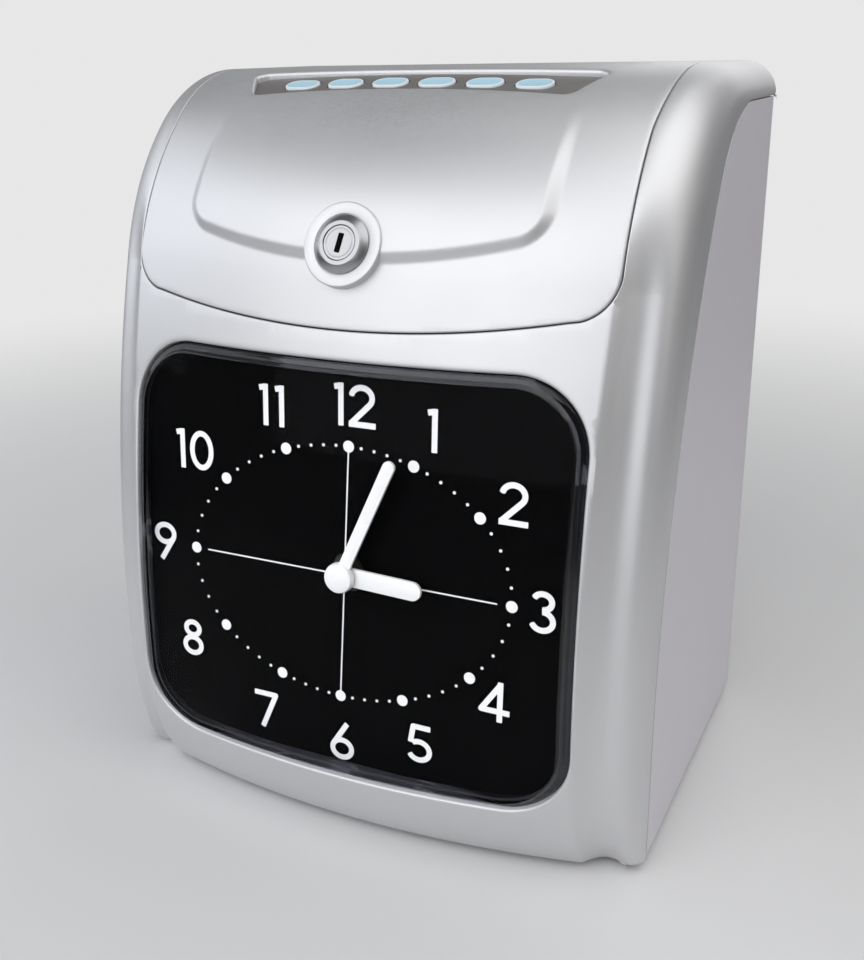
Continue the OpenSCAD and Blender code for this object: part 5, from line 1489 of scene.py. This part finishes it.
# Sizes of the rear housing in mm: corner radius, wall holes, screw seats, power inlet, floor and rubber feet
REAR_ROUND = 6.0
WALL_HOLE = {"x": 75, "z": (120, 200), "r": 2.5}
SCREW_SEAT = {"x": 80, "below_seam": 8, "r": 2.9, "deep": 1.6}
INLET = {"x": (-79, -51), "z": (56, 76)}
FLOOR = {"gap": 0.4, "narrow": 0.997, "back": 0.2, "rear": -30}
FOOT_PAD = {"x": 79, "from_side": 6, "from_rear": 20}
FOOT_PROFILE = ((0, 0.35), (4.2, 0.35), (4.6, 0.0), (6.2, 0.0), (6.75, 0.2), (7.0, 0.7), (7.0, 2.5), (0, 2.5))
# Reach of the cutting shapes: through the back wall, over the height and along the depth
BACK_CUT = (78, 90)
TALL_CUT = (-10, 300)
LONG_CUT = (-110, 90)


def corner_loop(x, y, side, up, r):
    """What a rounded corner at x, y takes away: side is its outer side, up the way into the body."""
    loop = [(1.0, -1.0), (1.0, r)] + arc(-r, r, r, 0, -90, 12) + [(-r, -1.0)]
    loop = np.array(loop) * (side, up) + (x, y)
    return loop if side * up > 0 else loop[::-1]


def housing_floor(skin):
    """The housing's floor, which follows the front cover's inner side."""
    q = across_values(skin, float(skin.edge(0.0)))
    inset = np.maximum(skin.wall, foot_radius(skin, q) + THIN_WALL) + FLOOR["gap"]
    front = skin.point(q, np.zeros(len(q)), inset)[:, :2]
    front = np.column_stack([front[:, 0] * FLOOR["narrow"], front[:, 1] + FLOOR["back"]])
    front = front[np.concatenate([[True], np.hypot(*np.diff(front, axis=0).T) > 1e-3])]
    rear = [(front[-1, 0], FLOOR["rear"]), (front[0, 0], FLOOR["rear"])]
    return plate("housing_floor", np.concatenate([front, rear]), [], skin.foot, skin.foot + skin.wall)


def housing_shell():
    """Rear housing: side walls, back wall and floor, open at the front and top."""
    skin = Skin()
    body = prism_x("housing_shell", housing_outline(skin), skin.half)
    for side in (-1, 1):
        rear = corner_loop(side * skin.half, skin.rear, side, -1, REAR_ROUND)
        cut(body, plate("rear_round", rear, [], *TALL_CUT))
        low = corner_loop(side * skin.half, skin.foot, side, 1, FOOT_ROUND)
        cut(body, move(plate("foot_round", low, [], *LONG_CUT), Matrix.Rotation(math.pi / 2, 4, "X")))
    half = skin.half - skin.wall
    cut(body, block("hollow", (-half, -120, skin.foot + skin.wall), (half, skin.rear - skin.wall, 300)))
    for side in (-1, 1):
        for z in WALL_HOLE["z"]:
            cut(body, rod_y("wall_hole", side * WALL_HOLE["x"], z, WALL_HOLE["r"], *BACK_CUT))
    seat_z, seat_y = skin.seam_z - SCREW_SEAT["below_seam"], skin.rear - SCREW_SEAT["deep"]
    for side in (-1, 1):
        cut(body, rod_y("screw_seat", side * SCREW_SEAT["x"], seat_z, SCREW_SEAT["r"], seat_y, BACK_CUT[1]))
    low, high = zip(INLET["x"], BACK_CUT, INLET["z"])
    cut(body, block("inlet_hole", low, high))
    bevel(body, 0.5, 2, 45)
    return join("housing_shell", body, housing_floor(skin))


class CLOCK_OT_housing(bpy.types.Operator):
    """Grey rear housing with its wall holes and inlet opening, on four rubber feet"""

    bl_idname = "clock.housing"
    bl_label = "Rear housing"

    def execute(self, context):
        looks = finishes()
        skin = Skin()
        settle(housing_shell(), "case", looks["grey_housing"], ["rear_housing"], even=True)
        first = spun("foot", FOOT_PROFILE, 48)
        ys = (skin.side_y + FOOT_PAD["from_side"], skin.rear - FOOT_PAD["from_rear"])
        places = [(x, y, 0) for x in (-FOOT_PAD["x"], FOOT_PAD["x"]) for y in ys]
        feet = [copy_piece(first, f"foot_{i}") for i in range(len(places))]
        for foot, place in zip(feet, places):
            move(foot, Matrix.Translation(place))
        bpy.data.objects.remove(first, do_unlink=True)
        settle(join("foot_pads", *feet), "case", looks["rubber_black"], ["rubber_feet"])
        return {"FINISHED"}


# The finish of each CAD node that keeps its solid
INNER_FINISH = {
    "steel": ["housing_screws", "hinge_pins", "lock_cam", "lock_nut", "cam_screw", "lock_catch",
              "print_frame", "frame_screws", "carriage_rods", "idler_post", "feed_shaft"],
    "dial_black": ["dial_plate"],
    "black_plastic": ["dial_frame", "movement_case", "movement_back", "carriage", "ribbon_cartridge",
                      "power_inlet", "key_switches"],
    "dark_brass": ["dial_nut"],
    "brass": ["minute_arbor", "clock_pinion", "feed_pinion"],
    "gear_plastic": ["drive_wheel", "minute_wheel", "hour_wheel", "motor_pulley", "idler_pulley",
                     "feed_gear"],
    "motor_can": ["clock_motor", "carriage_motor", "feed_motor"],
    "board_green": ["key_board", "main_board"],
    "chip_black": ["board_parts"],
    "head_alloy": ["print_head"],
    "rubber_black": ["belt", "feed_rollers"],
    "ribbon_ink": ["ribbon"],
    "knob_blue": ["ribbon_knob"],
    "guide_grey": ["card_guide"],
    "battery_wrap": ["backup_battery"],
    "core_steel": ["transformer"],
}


class CLOCK_OT_inner_works(bpy.types.Operator):
    """Finishes of the movement, print unit and electronics"""

    bl_idname = "clock.inner_works"
    bl_label = "Inner works"

    def execute(self, context):
        looks = finishes()
        for slot, names in INNER_FINISH.items():
            for name in names:
                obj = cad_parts[name]
                if not obj.material_slots:
                    obj.data.materials.append(looks[slot])
                for s in obj.material_slots:
                    s.material = looks[slot]
        return {"FINISHED"}


# Stage


# The photo's camera: place in mm, angles in degrees, focal length and picture height in pixels
CAMERA = {"at": (180.84, -373.03, 262.50), "yaw": 25.73, "pitch": 20.29, "roll": 1.1, "pixels": 1163.05,
          "tall": 960}
SENSOR = 36
# Place and size in metres, watts and colour of each lamp, and the point they aim at
LAMPS = {
    "key_lamp": ((-0.20, -1.20, 0.85), (1.7, 1.6), 15.5, (0.97, 0.98, 1.0)),
    "left_lamp": ((-1.2, -0.35, 0.7), (1.0, 1.0), 4.5, (0.90, 0.94, 1.0)),
    "top_lamp": ((0.60, -0.10, 1.20), (1.2, 1.2), 7.0, (1.0, 1.0, 1.0)),
    "side_lamp": ((1.35, -0.10, 0.70), (1.0, 1.0), 1.6, (1.0, 0.94, 0.90)),
    "rear_lamp": ((0.10, 1.30, 0.75), (0.9, 0.9), 3.2, (1.0, 1.0, 1.0)),
}
AIM = Vector((0, 0, 0.12))


def floor_paper():
    """Pale paper that fades out away from the part."""
    mat, tree, shader = new_material("floor_paper")
    rgb = tuple(colours().floor)
    set_inputs(shader, {"Roughness": 0.9})
    place = add_node(tree, "TexCoord")
    noise = add_node(tree, "TexNoise", {"Scale": 3})
    dark = [c * 0.985 for c in rgb]
    tone = add_node(tree, "Mix", {"A": (*dark, 1), "B": (*rgb, 1)}, data_type="RGBA")
    far = add_node(tree, "VectorMath", operation="LENGTH")
    fade = add_node(tree, "MapRange", {"From Min": 0.28, "From Max": 0.95, "To Min": 1.0, "To Max": 0.0},
                    interpolation_type="SMOOTHSTEP")
    wire(tree, (place, "Object", far, 0), (far, "Value", fade, "Value"), (fade, "Result", shader, "Alpha"),
         (place, "Object", noise, "Vector"), (noise, "Fac", tone, "Factor"),
         (tone, "Result", shader, "Base Color"))
    return mat


def studio_world():
    """Dim surroundings that light the part, with an even pale grey where the camera sees them."""
    world = bpy.data.worlds.new("studio")
    world.use_nodes = True
    tree = world.node_tree
    lit = set_inputs(tree.nodes["Background"], {"Color": (0.95, 0.97, 1.0, 1), "Strength": 0.14})
    shown = add_node(tree, "Background", {"Color": (0.80, 0.80, 0.80, 1)})
    path = add_node(tree, "LightPath")
    mix = add_node(tree, "MixShader")
    wire(tree, (path, "Is Camera Ray", mix, "Fac"), (lit, "Background", mix, 1),
         (shown, "Background", mix, 2), (mix, "Shader", tree.nodes["World Output"], "Surface"))
    return world


def area_lamp(name, at, size, watts, rgb):
    """A rectangular lamp aimed at the part's middle."""
    lamp = bpy.data.lights.new(name, "AREA")
    lamp.shape = "RECTANGLE"
    lamp.size, lamp.size_y = size
    lamp.energy = watts
    lamp.color = rgb
    obj = bpy.data.objects.new(name, lamp)
    bpy.context.scene.collection.objects.link(obj)
    obj.location = at
    obj.rotation_euler = (AIM - Vector(at)).to_track_quat("-Z", "Y").to_euler()


def photo_camera():
    """A camera that stands and looks as the photo's did."""
    cam = bpy.data.cameras.new("photo_camera")
    cam.sensor_width = SENSOR
    cam.lens = CAMERA["pixels"] / CAMERA["tall"] * SENSOR
    cam.clip_start = 0.01
    obj = bpy.data.objects.new("photo_camera", cam)
    bpy.context.scene.collection.objects.link(obj)
    yaw, pitch, roll = (math.radians(CAMERA[k]) for k in ("yaw", "pitch", "roll"))
    level = math.cos(pitch)
    forward = Vector((-math.sin(yaw) * level, math.cos(yaw) * level, -math.sin(pitch)))
    right = Vector((math.cos(yaw), math.sin(yaw), 0))
    down = forward.cross(right)
    turned_right = math.cos(roll) * right + math.sin(roll) * down
    turned_down = -math.sin(roll) * right + math.cos(roll) * down
    place = Matrix.Identity(4)
    for i, axis in enumerate((turned_right, -turned_down, -forward)):
        place.col[i] = (*axis, 0)
    place.col[3] = (*[v * MM for v in CAMERA["at"]], 1)
    obj.matrix_world = place
    return obj


class CLOCK_OT_stage(bpy.types.Operator):
    """Pale floor, soft studio lamps and the camera"""

    bl_idname = "clock.stage"
    bl_label = "Stage"

    def execute(self, context):
        scene = context.scene
        clear_selection()
        bpy.ops.mesh.primitive_plane_add(size=6, location=(0, 0, 0))
        floor = context.object
        floor.name = "studio_floor"
        floor.data.materials.append(floor_paper())
        scene.world = studio_world()
        for name, values in LAMPS.items():
            area_lamp(name, *values)
        scene.camera = photo_camera()
        scene.view_settings.view_transform = "Standard"
        return {"FINISHED"}


STEPS = (
    CLOCK_OT_stage, CLOCK_OT_housing, CLOCK_OT_front_cover, CLOCK_OT_top_cover, CLOCK_OT_keys, CLOCK_OT_lock,
    CLOCK_OT_window, CLOCK_OT_dial, CLOCK_OT_hands, CLOCK_OT_inner_works,
)


class CLOCK_PT_builder(bpy.types.Panel):
    """Sidebar panel that lists the building steps"""

    bl_label = "Time clock"
    bl_idname = "CLOCK_PT_builder"
    bl_space_type = "VIEW_3D"
    bl_region_type = "UI"
    bl_category = "Time clock"

    def draw(self, context):
        for step in STEPS:
            self.layout.operator(step.bl_idname)
        for group in (context.scene.clock_case, context.scene.clock_dial, context.scene.clock_colours):
            box = self.layout.box()
            for name in group.__annotations__:
                box.prop(group, name)


GROUPS = (ClockCaseSizes, ClockDialSizes, ClockColours)


def register():
    """Registers the sizes, steps and panel."""
    for cls in GROUPS + STEPS + (CLOCK_PT_builder,):
        bpy.utils.register_class(cls)
    bpy.types.Scene.clock_case = bpy.props.PointerProperty(type=ClockCaseSizes)
    bpy.types.Scene.clock_dial = bpy.props.PointerProperty(type=ClockDialSizes)
    bpy.types.Scene.clock_colours = bpy.props.PointerProperty(type=ClockColours)


def unregister():
    """Removes what register added."""
    for name in ("clock_case", "clock_dial", "clock_colours"):
        delattr(bpy.types.Scene, name)
    for cls in reversed(GROUPS + STEPS + (CLOCK_PT_builder,)):
        bpy.utils.unregister_class(cls)


def main():
    """Builds every piece in order."""
    register()
    for step in STEPS:
        group, name = step.bl_idname.split(".")
        getattr(getattr(bpy.ops, group), name)()


if __name__ == "__main__":
    main()
